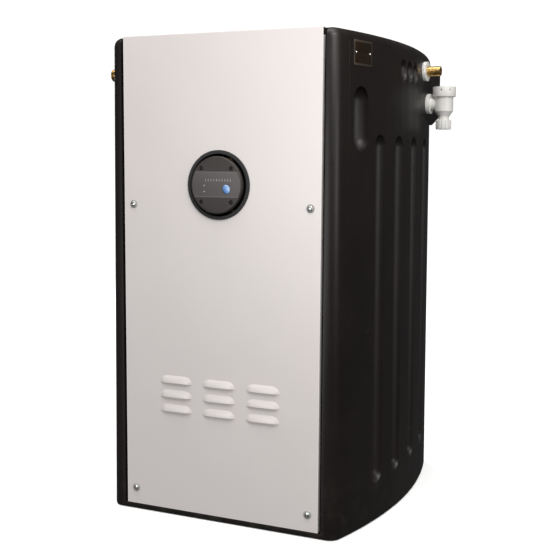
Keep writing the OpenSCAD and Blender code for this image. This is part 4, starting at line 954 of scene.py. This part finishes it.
class ScatterTree(ShapeTree):
    """Puts one head on every point, each turned about its own axis by a seeded angle."""

    def __init__(self) -> None:
        """Builds the tree."""
        super().__init__("scattered_heads")
        head = self.size("Head", "NodeSocketObject")
        seed = self.size("Seed", "NodeSocketInt")
        spread = self.size("Turn")
        turn = self.node(
            "FunctionNodeRandomValue", {"data_type": "FLOAT"}, {"Seed": seed, 3: spread, 2: 0.0}
        )
        self.stand(self.entry.outputs["Geometry"], head, "Y", turn.outputs[1])


class ThreadTree(ShapeTree):
    """A helical thread of a given radius, pitch, turns and depth along Z."""

    def __init__(self) -> None:
        """Builds the tree."""
        super().__init__("helical_thread")
        radius = self.size("Radius")
        turns = self.size("Turns")
        length = self.size("Length")
        depth = self.size("Depth")
        sizes = {"Start Radius": radius, "End Radius": radius, "Height": length}
        spiral = self.node(
            "GeometryNodeCurveSpiral", {}, {"Resolution": 48, "Rotations": turns, **sizes}
        )
        self.sweep(spiral.outputs[0], depth, 6)


class RibTree(ShapeTree):
    """Repeats one rib round the Z axis a given number of times."""

    def __init__(self) -> None:
        """Builds the tree."""
        super().__init__("ring_of_ribs")
        rib = self.size("Rib", "NodeSocketObject")
        count = self.size("Count", "NodeSocketInt")
        radius = self.size("Radius")
        circle = self.node(
            "GeometryNodeMeshCircle", {"fill_type": "NONE"}, {"Vertices": count, "Radius": radius}
        )
        here = self.node("GeometryNodeInputPosition")
        split = self.node("ShaderNodeSeparateXYZ", {}, {0: here.outputs[0]})
        bearing = self.node(
            "ShaderNodeMath", {"operation": "ARCTAN2"}, {0: split.outputs[1], 1: split.outputs[0]}
        )
        self.stand(circle.outputs[0], rib, "Z", bearing.outputs[0])


class SeamTree(ShapeTree):
    """A fine bead along a chain of edges."""

    def __init__(self) -> None:
        """Builds the tree."""
        super().__init__("bead_on_a_path")
        radius = self.size("Radius")
        line = self.node("GeometryNodeMeshToCurve", {}, {0: self.entry.outputs["Geometry"]})
        self.sweep(line.outputs[0], radius, 8)


@dataclass
class Toolbox:
    """The trees that the sub-assemblies share."""

    scatter: ScatterTree = field(default_factory=ScatterTree)
    thread: ThreadTree = field(default_factory=ThreadTree)
    ribs: RibTree = field(default_factory=RibTree)
    seam: SeamTree = field(default_factory=SeamTree)


# Pieces that sub-assemblies share.


@dataclass(frozen=True)
class ScrewSet:
    """Alike screws with domed cross heads that face the front, or upwards. Sizes in metres."""

    piece: str
    node: str
    finish: Finish
    seed: int
    shank: float
    turn: float = 3.0
    radius: float = 0.004
    height: float = 0.0022
    slot: float = 0.0011
    upright: bool = False
    rim_share: float = 0.35
    neck_share: float = 0.4
    recess_share: float = 0.62
    recess_taper: float = 0.72

    def head(self) -> bpy.types.Object:
        """Turns one head with its seat at the origin and cuts its recess.

        Returns:
            The template.
        """
        dome = 1 - self.rim_share
        crown = [
            (self.radius * math.cos(a), self.height * (self.rim_share + dome * math.sin(a)))
            for a in (math.radians(d) for d in range(0, 90, 10))
        ]
        neck = self.radius * self.neck_share
        profile = [(0.0, -self.shank), (neck, -self.shank), (neck, 0.0), (self.radius, 0.0)]
        profile += crown + [(0.0, self.height)]
        cross = bmesh.new()
        long, low = self.radius * self.recess_share, self.height * self.rim_share
        for x, y in ((long, self.slot / 2), (self.slot / 2, long)):
            box_mesh(cross, (-x, -y, low), (x, y, self.height * 1.4), self.recess_taper)
        name = self.node + "_head"
        obj = new_object(name, finished_mesh(name, lathe(profile, 40)))
        cutter = new_object(self.node + "_tool", finished_mesh(self.node + "_tool", cross))
        cut = obj.modifiers.new("recess", "BOOLEAN")
        cut.operation = "DIFFERENCE"
        cut.solver = "EXACT"
        cut.use_self = True
        cut.object = cutter
        apply_modifiers(obj)
        bpy.data.objects.remove(cutter)
        if not self.upright:
            obj.data.transform(Matrix.Rotation(math.radians(90), 4, "X"))
        return obj

    def build(self, tools: Toolbox, places: list[Point]) -> None:
        """Puts one head on every place.

        Args:
            tools: The shared trees.
            places: The heads' seats.
        """
        head = self.head()
        carrier = points_mesh(self.node + "_places", places)
        values = {"Head": head, "Seed": self.seed, "Turn": self.turn}
        heads = tools.scatter.mesh(self.piece, carrier, values, self.finish)
        bpy.data.objects.remove(head)
        place_piece(heads, Body.SET, self.finish, (self.node,))


@dataclass(frozen=True)
class PipeThread:
    """The thread of a brass tail that lies along X. Sizes in metres."""

    name: str
    start: Point
    length: float
    radius: float
    pitch: float = 0.001814
    crest: float = 0.00052
    sunk: float = 0.0001

    def build(self, tools: Toolbox) -> None:
        """Winds the thread on its tail."""
        values = {
            "Radius": self.radius - self.sunk,
            "Turns": self.length / self.pitch,
            "Length": self.length,
            "Depth": self.crest,
        }
        carrier = points_mesh(self.name + "_start", [])
        thread = tools.thread.mesh(self.name, carrier, values, BRASS, 70.0)
        lie = Matrix.Rotation(math.radians(90), 4, "Y")
        thread.data.transform(Matrix.Translation(Vector(self.start)) @ lie)
        place_piece(thread, Body.SET, BRASS)


# Sub-assemblies.


@dataclass
class BreakTank:
    """The moulded tank with its lid, mould seams and blank plate. Sizes in metres."""

    width: float = 0.604
    depth: float = 0.630
    height: float = 1.000
    bow: float = 1.122
    draft: float = 0.008
    seam_back: float = 0.0393
    seam_low: float = 0.030
    seam_high: float = 0.978
    seam_radius: float = 0.0007
    seam_sunk: float = 0.0002
    seam_steps: int = 40
    lid_centre: tuple[float, float] = (0.110, 0.110)
    lid_screw_circle: float = 0.109
    lid_screw_angles: tuple[float, ...] = (45, 135, 225, 315)
    lid_seat: float = 0.991
    lid_screws: ScrewSet = ScrewSet(
        "lid_screw_heads", "lid_screws", STEEL, seed=3, shank=0.011, turn=0.0, upright=True
    )

    def wall_x(self, y: float, z: float) -> float:
        """Distance of the bowed right wall from the middle.

        Args:
            y: Place from front to back.
            z: Height.

        Returns:
            The wall's x.
        """
        half = self.width / 2 - self.draft * z / self.height
        return half - self.bow + math.sqrt(self.bow**2 - y**2)

    def seams(self, tools: Toolbox) -> None:
        """Adds the mould's parting bead behind each front column."""
        y = self.seam_back - self.depth / 2
        for name, side in (("seam_right", 1), ("seam_left", -1)):
            path = []
            for i in range(self.seam_steps + 1):
                z = self.seam_low + (self.seam_high - self.seam_low) * i / self.seam_steps
                path.append((side * (self.wall_x(y, z) - self.seam_sunk), y, z))
            carrier = points_mesh(name, path, True)
            bead = tools.seam.mesh(name, carrier, {"Radius": self.seam_radius}, TANK)
            place_piece(bead, Body.SET, TANK)

    def lid_places(self) -> list[Point]:
        """Seats of the lid's screws."""
        x, y = self.lid_centre
        reach = self.lid_screw_circle
        turns = [math.radians(a) for a in self.lid_screw_angles]
        return [(x + reach * math.cos(a), y + reach * math.sin(a), self.lid_seat) for a in turns]

    def build(self, tools: Toolbox) -> None:
        """Builds and dresses the tank's pieces."""
        refined("tank", Body.SET, TANK, 0.0, 28.0)
        refined("tank_lid", Body.SET, TANK, 0.0, 24.0)
        self.seams(tools)
        self.lid_screws.build(tools, self.lid_places())
        refined("rating_plate", Body.SET, PLATE, 0.0003)
        refined("plate_rivets", Body.SET, STEEL, 0.0, 40.0)


@dataclass
class FrontCover:
    """The folded sheet cover with its screws and washers."""

    front: float = -0.315
    screw_x: float = 0.1995
    screw_heights: tuple[float, float] = (0.049, 0.658)
    washer: float = 0.0015
    screws: ScrewSet = ScrewSet(
        "cover_screw_heads", "cover_screws", STEEL, seed=11, shank=0.020,
        radius=0.0055, height=0.0028, slot=0.0012,
    )

    def build(self, tools: Toolbox) -> None:
        """Builds and dresses the cover's pieces."""
        refined("front_cover", Body.SET, COVER, 0.0, 22.0)
        refined("cover_washers", Body.SET, WASHER, 0.0, 40.0)
        seat = self.front - self.washer
        places = [(x, seat, z) for x in (-self.screw_x, self.screw_x) for z in self.screw_heights]
        self.screws.build(tools, places)


@dataclass
class Controller:
    """The pressure controller behind the cover's round window."""

    centre_z: float = 0.700
    face_y: float = -0.326
    screw_side: float = 0.067
    screw_sink: float = 0.003
    button_at: tuple[float, float] = (0.023, -0.0075)
    button_half: tuple[float, float] = (0.0075, 0.009)
    button_lean: float = -25.0
    button_proud: float = 0.0014
    button_depth: float = 0.0095
    button_steps: int = 48
    rim_inset: float = 0.12
    rim_depth: float = 0.0008
    rim_proud: float = 0.0006
    screws: ScrewSet = ScrewSet(
        "face_screw_heads", "controller_screws", NYLON, seed=5, shank=0.008
    )

    def button_levels(self) -> list[tuple[float, float]]:
        """The button's rings from its foot to its crown.

        Returns:
            Each ring's size as a share, and its place behind the face.
        """
        levels = [(1.0, self.button_depth)]
        for degrees in range(0, 91, 15):
            a = math.radians(degrees)
            inset = self.rim_inset * (1 - math.cos(a))
            levels.append((1.0 - inset, self.rim_depth * (1 - math.sin(a)) - self.rim_proud))
        dome = self.button_proud - self.rim_proud
        for i in range(1, 6):
            share = 1 - i / 6
            levels.append(((1.0 - self.rim_inset) * share, -self.rim_proud - dome * (1 - share**2)))
        return levels

    def button(self) -> None:
        """Builds the domed oval button with its rounded rim."""
        work = bmesh.new()
        steps = self.button_steps
        lean = math.radians(self.button_lean)
        rings = []
        for scale, back in self.button_levels():
            ring = []
            for k in range(steps):
                a = 2 * math.pi * k / steps
                x = self.button_half[0] * scale * math.cos(a)
                z = self.button_half[1] * scale * math.sin(a)
                ring.append(work.verts.new((
                    self.button_at[0] + x * math.cos(lean) + z * math.sin(lean),
                    self.face_y + back,
                    self.centre_z + self.button_at[1] - x * math.sin(lean) + z * math.cos(lean),
                )))
            rings.append(ring)
        for low, high in zip(rings, rings[1:]):
            for k in range(steps):
                j = (k + 1) % steps
                work.faces.new((low[k], low[j], high[j], high[k]))
        work.faces.new(rings[0])
        work.faces.new(rings[-1])
        bmesh.ops.recalc_face_normals(work, faces=work.faces[:])
        mesh = finished_mesh("button_crown", work)
        soften(mesh, 50.0)
        place_piece(new_object("button_crown", mesh), Body.BUTTON, BUTTON, ("reset_button",))

    def build(self, tools: Toolbox) -> None:
        """Builds and dresses the controller's pieces."""
        refined("window_grommet", Body.SET, RUBBER, 0.0004)
        refined("controller_body", Body.SET, NYLON)
        refined("controller_face", Body.SET, FACE, 0.0)
        refined("display_overlay", Body.SET, FILM, 0.0)
        refined("indicator_lights", Body.SET, LAMP, 0.00012)
        self.button()
        half = self.screw_side / 2
        places = [
            (x, self.face_y + self.screw_sink, self.centre_z + z)
            for x in (-half, half)
            for z in (-half, half)
        ]
        self.screws.build(tools, places)
        refined("check_poppet", Body.POPPET, WHITE)
        refined("union_nuts", Body.SET, BRASS, 0.0005)


@dataclass
class FloatValve:
    """The inlet valve: its threaded tail outside, the fork, arm and ball inside."""

    wall_x: float = 0.288
    y: float = 0.131
    z: float = 0.952
    nut: float = 0.008
    tail_end: float = 0.326
    tail_radius: float = 0.01048
    run_out: float = 0.0012
    arm_pin: Point = (0.198667, 0.131, 0.941)
    arm_length: float = 0.225
    arm_drop: float = 58.0
    ball_radius: float = 0.057
    ridge: float = 0.0011
    collar_sunk: float = 0.0015

    def thread(self) -> PipeThread:
        """The tail's thread, clear of the nut and of the tail's end."""
        start = self.wall_x + self.nut + self.run_out
        length = self.tail_end - start - self.run_out
        return PipeThread("inlet_thread", (start, self.y, self.z), length, self.tail_radius)

    def ball(self) -> None:
        """Builds the ball float with its moulding ridge and stem collar."""
        r = self.ball_radius - self.ridge
        belt = [(-2.4, 0.0), (-1.4, self.ridge), (1.4, self.ridge), (2.4, 0.0)]
        low, high = ([(a, 0.0) for a in range(first, first + 81, 4)] for first in (-86, 6))
        profile = [(0.0, -r)]
        for a, lift in low + belt + high:
            turn = math.radians(a)
            profile.append(((r + lift) * math.cos(turn), (r + lift) * math.sin(turn)))
        profile.append((0.0, r))
        work = lathe(profile, 72)
        stem = [(0.0, -0.006), (0.0065, -0.006), (0.0065, 0.004), (0.005, 0.0055), (0.0, 0.0055)]
        collar = lathe(stem, 36)
        shift = Matrix.Translation((0.0, 0.0, self.collar_sunk - self.ball_radius))
        flip = Matrix.Rotation(math.pi, 4, "X")
        bmesh.ops.transform(collar, matrix=shift @ flip, verts=collar.verts[:])
        work.from_mesh(finished_mesh("collar", collar))
        mesh = finished_mesh("ball_float", work)
        drop = math.radians(self.arm_drop)
        along = Vector((-math.cos(drop), 0.0, -math.sin(drop)))
        turn = along.to_track_quat("Z", "Y").to_matrix().to_4x4()
        centre = Vector(self.arm_pin) + along * self.arm_length
        mesh.transform(Matrix.Translation(centre) @ turn)
        soften(mesh, 40.0)
        place_piece(new_object("ball_float", mesh), Body.FLOAT, FLOAT, ("float_ball",))

    def build(self, tools: Toolbox) -> None:
        """Builds and dresses the valve's pieces."""
        refined("float_valve_body", Body.SET, BRASS, 0.0)
        self.thread().build(tools)
        refined("float_valve_nuts", Body.SET, WHITE, 0.0006)
        refined("float_arm", Body.FLOAT, BRASS)
        self.ball()
        paint_nodes(("arm_pin",), STEEL)
        paint_nodes(("valve_piston",), WHITE)


@dataclass
class Overflow:
    """The screened overflow with its capped air gap and ribbed nut."""

    x: float = 0.326
    y: float = 0.165
    nut_top: float = 0.848
    nut_low: float = 0.8265
    nut_radius: float = 0.0175
    rib_count: int = 24
    rib_low: tuple[float, float] = (-0.0006, -0.0005)
    rib_high: tuple[float, float] = (0.00035, 0.0005)
    rib_short: float = 0.003

    def grips(self, tools: Toolbox) -> None:
        """Adds the fine grip ribs round the pipe nut."""
        work = bmesh.new()
        length = self.nut_top - self.nut_low - self.rib_short
        box_mesh(work, (*self.rib_low, 0.0), (*self.rib_high, length))
        rib = new_object("grip_rib", finished_mesh("grip_rib", work))
        values = {"Rib": rib, "Count": self.rib_count, "Radius": self.nut_radius}
        ring = tools.ribs.mesh("nut_grips", points_mesh("nut_centre", []), values, WHITE, 20.0)
        ring.data.transform(Matrix.Translation((self.x, self.y, self.nut_low)))
        bpy.data.objects.remove(rib)
        place_piece(ring, Body.SET, WHITE)

    def build(self, tools: Toolbox) -> None:
        """Builds and dresses the overflow's pieces."""
        refined("overflow_tee", Body.SET, WHITE, 0.0)
        refined("overflow_cap", Body.SET, WHITE, 0.0012)
        refined("overflow_nut", Body.SET, WHITE, 0.0005)
        self.grips(tools)
        paint_nodes(("overflow_screen",), STEEL)
        refined("bulkhead_nuts", Body.SET, NYLON, 0.0005)


@dataclass
class PumpSet:
    """The pump and motor in the bay."""

    castings: tuple[str, ...] = (
        "discharge_housing", "suction_cover", "motor_housing", "motor_end_shield",
    )
    steels: tuple[str, ...] = (
        "pump_base", "pump_sleeve", "stay_bolts", "stage_chambers", "bearing_outer_rings",
    )
    nylons: tuple[str, ...] = ("fan_cover", "terminal_box", "terminal_box_lid")
    turning: dict[str, Finish] = field(default_factory=lambda: {
        "pump_shaft": STEEL,
        "bearing_inner_rings": STEEL,
        "impellers": WHEEL,
        "rotor": IRON,
        "fan": NYLON,
        "seal_head": RUBBER,
    })

    def build(self) -> None:
        """Dresses the pump's pieces."""
        for node in self.castings:
            refined(node, Body.SET, CASTING)
        for node in self.steels:
            refined(node, Body.SET, STEEL)
        for node in self.nylons:
            refined(node, Body.SET, NYLON)
        for node, finish in self.turning.items():
            refined(node, Body.ROTOR, finish)
        refined("pump_feet", Body.SET, RUBBER)
        refined("pump_plugs", Body.SET, BRASS, 0.0004)
        paint_nodes(("seal_seat",), WHITE)
        paint_nodes(("stator",), COPPER)


@dataclass
class Pipework:
    """Pipes, tails, the isolating valve, glands and the motor's cable."""

    cable_radius: float = 0.0035
    outlet_face: float = -0.27467
    outlet_flange: float = 0.005
    outlet_end: float = -0.29767
    outlet_y: float = -0.235
    outlet_z: float = 0.930
    outlet_radius: float = 0.0132
    run_outs: tuple[float, float] = (0.001, 0.0015)
    bend_steps: int = 4
    route: tuple[Point, ...] = (
        (-30.0, -301.5, 638.0), (-30.0, -301.5, 624.0),
        (-30, -292, 560), (-34, -286, 500), (-50, -270, 420), (-90, -250, 360),
        (-130, -240, 320), (-160, -236, 285), (-172, -235, 262), (-174, -235, 246),
        (-150.0, -235.0, 216.0), (-136.0, -235.0, 216.0),
    )

    def cable(self) -> None:
        """Runs the cable from the controller's gland down to the motor's box."""
        curve = bpy.data.curves.new("motor_cable", "CURVE")
        curve.dimensions = "3D"
        curve.bevel_depth = self.cable_radius
        curve.bevel_resolution = 4
        curve.use_fill_caps = True
        line = curve.splines.new("POLY")
        points = self.smooth_route()
        line.points.add(len(points) - 1)
        for spot, p in zip(line.points, points):
            spot.co = (*p, 1.0)
        obj = bpy.data.objects.new("motor_cable", curve)
        bpy.context.scene.collection.objects.link(obj)
        curve.materials.append(RUBBER.material())
        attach(obj, Body.SET.value)
        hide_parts("pump_cable")
        length = sum((b - a).length for a, b in zip(points, points[1:]))
        log.info("motor_cable is %.3f m long", length)

    def smooth_route(self) -> list[Vector]:
        """The cable's line, rounded through its route's points.

        Returns:
            Points in metres.
        """
        marks = [Vector(p) * MM for p in self.route]
        line = []
        for i in range(len(marks) - 1):
            before, after = marks[max(i - 1, 0)], marks[min(i + 2, len(marks) - 1)]
            a, b = marks[i], marks[i + 1]
            for k in range(self.bend_steps):
                t = k / self.bend_steps
                line.append(
                    0.5 * ((2 * a) + (b - before) * t + (2 * before - 5 * a + 4 * b - after) * t**2
                           + (3 * a - before - 3 * b + after) * t**3)
                )
        line.append(marks[-1])
        return line

    def outlet_thread(self) -> PipeThread:
        """The thread of the outlet's tail on the left side."""
        end_gap, flange_gap = self.run_outs
        start = self.outlet_end + end_gap
        length = self.outlet_face - self.outlet_flange - start - flange_gap
        place = (start, self.outlet_y, self.outlet_z)
        return PipeThread("outlet_thread", place, length, self.outlet_radius)

    def build(self, tools: Toolbox) -> None:
        """Builds and dresses the pipework."""
        refined("riser_pipe", Body.SET, COPPER)
        refined("outlet_pipe", Body.SET, COPPER)
        refined("outlet_tail", Body.SET, BRASS, 0.0004)
        self.outlet_thread().build(tools)
        refined("suction_elbow", Body.SET, RUBBER)
        refined("isolating_valve", Body.SET, BRASS)
        refined("tank_outlet", Body.SET, BRASS)
        refined("valve_ball", Body.LEVER, STEEL)
        refined("valve_lever", Body.LEVER, RED, 0.0006)
        refined("cable_glands", Body.SET, NYLON, 0.0004)
        self.cable()


# Studio.


@dataclass
class Lamp:
    """One soft light."""

    name: str
    at: Point
    aim: Point
    size: float
    power: float
    colour: Colour = (1.0, 1.0, 1.0)

    def build(self) -> None:
        """Hangs the light."""
        data = bpy.data.lights.new(self.name, "AREA")
        data.shape = "DISK"
        data.size = self.size
        data.energy = self.power
        data.color = self.colour
        obj = bpy.data.objects.new(self.name, data)
        obj.location = self.at
        obj.rotation_mode = "QUATERNION"
        obj.rotation_quaternion = (Vector(self.aim) - Vector(self.at)).to_track_quat("-Z", "Y")
        bpy.context.scene.collection.objects.link(obj)


@dataclass
class Studio:
    """Camera, floor, sky and lights."""

    camera_at: Point = (0.93911, -2.08935, 0.74398)
    azimuth: float = 24.35
    elevation: float = 6.66
    roll: float = 0.41
    lens: float = 64.18
    sensor: float = 36.0
    sky: float = 0.22
    sheen_sky: float = 0.07
    backdrop: float = 1.1
    sun: float = 2.1
    sun_from: Point = (-0.2, -0.35, 2.1)
    sun_spread: float = 50.0
    floor_radius: float = 40.0
    lamps: tuple[Lamp, ...] = (
        Lamp("key", (0.95, -1.15, 1.75), (0.05, 0.0, 0.75), 0.8, 16.5, (1.0, 0.985, 0.97)),
        Lamp("fill", (-0.8, -3.6, 0.6), (0.0, 0.0, 0.6), 1.3, 28.0),
        Lamp("edge", (2.6, -1.3, 0.9), (0.3, 0.0, 0.5), 0.9, 12.0),
        Lamp("rim", (-2.6, 2.4, 1.8), (0.0, 0.3, 0.5), 2.0, 26.0),
    )

    def camera(self) -> None:
        """Sets the camera at the photograph's place."""
        az, el = math.radians(self.azimuth), math.radians(self.elevation)
        back = Vector((math.sin(az) * math.cos(el), -math.cos(az) * math.cos(el), math.sin(el)))
        right = (-back).cross(Vector((0.0, 0.0, 1.0))).normalized()
        up = right.cross(-back)
        roll = math.radians(self.roll)
        side = right * math.cos(roll) + up * math.sin(roll)
        head = up * math.cos(roll) - right * math.sin(roll)
        data = bpy.data.cameras.new("photo_camera")
        data.sensor_width = self.sensor
        data.lens = self.lens
        data.clip_start = 0.05
        data.clip_end = 100.0
        obj = bpy.data.objects.new("photo_camera", data)
        bpy.context.scene.collection.objects.link(obj)
        turn = Matrix((side, head, back)).transposed().to_4x4()
        obj.matrix_world = Matrix.Translation(Vector(self.camera_at)) @ turn
        bpy.context.scene.camera = obj

    def floor(self) -> None:
        """Lays the pale floor."""
        work = bmesh.new()
        bmesh.ops.create_circle(work, cap_ends=True, segments=96, radius=self.floor_radius)
        mesh = finished_mesh("floor", work)
        mesh.materials.append(FLOOR.material())
        obj = new_object("floor", mesh)
        obj.visible_diffuse = False
        obj.visible_glossy = False

    def light(self) -> None:
        """Sets the sky and hangs the lights."""
        world = bpy.data.worlds.new("studio")
        world.use_nodes = True
        nodes, links = world.node_tree.nodes, world.node_tree.links
        shade = nodes["Background"]
        shade.inputs["Color"].default_value = (1.0, 1.0, 1.0, 1.0)
        path = nodes.new("ShaderNodeLightPath")
        level = nodes.new("ShaderNodeMapRange")
        around = nodes.new("ShaderNodeMapRange")
        around.inputs["To Min"].default_value = self.sky
        around.inputs["To Max"].default_value = self.sheen_sky
        links.new(path.outputs["Is Glossy Ray"], around.inputs["Value"])
        level.inputs["To Max"].default_value = self.backdrop
        links.new(around.outputs["Result"], level.inputs["To Min"])
        links.new(path.outputs["Is Camera Ray"], level.inputs["Value"])
        links.new(level.outputs["Result"], shade.inputs["Strength"])
        bpy.context.scene.world = world
        bpy.context.scene.view_settings.view_transform = "Standard"
        data = bpy.data.lights.new("overcast", "SUN")
        data.energy = self.sun
        data.angle = math.radians(self.sun_spread)
        sun = bpy.data.objects.new("overcast", data)
        sun.rotation_mode = "QUATERNION"
        sun.rotation_quaternion = (-Vector(self.sun_from)).to_track_quat("-Z", "Y")
        bpy.context.scene.collection.objects.link(sun)
        for lamp in self.lamps:
            lamp.build()

    def build(self) -> None:
        """Builds the studio."""
        self.camera()
        self.floor()
        self.light()


def main() -> None:
    """Builds the studio and then each sub-assembly."""
    logging.basicConfig(level=logging.INFO, format="%(name)s: %(message)s")
    Studio().build()
    tools = Toolbox()
    BreakTank().build(tools)
    FrontCover().build(tools)
    Controller().build(tools)
    FloatValve().build(tools)
    Overflow().build(tools)
    PumpSet().build()
    Pipework().build(tools)


if __name__ == "__main__":
    main()
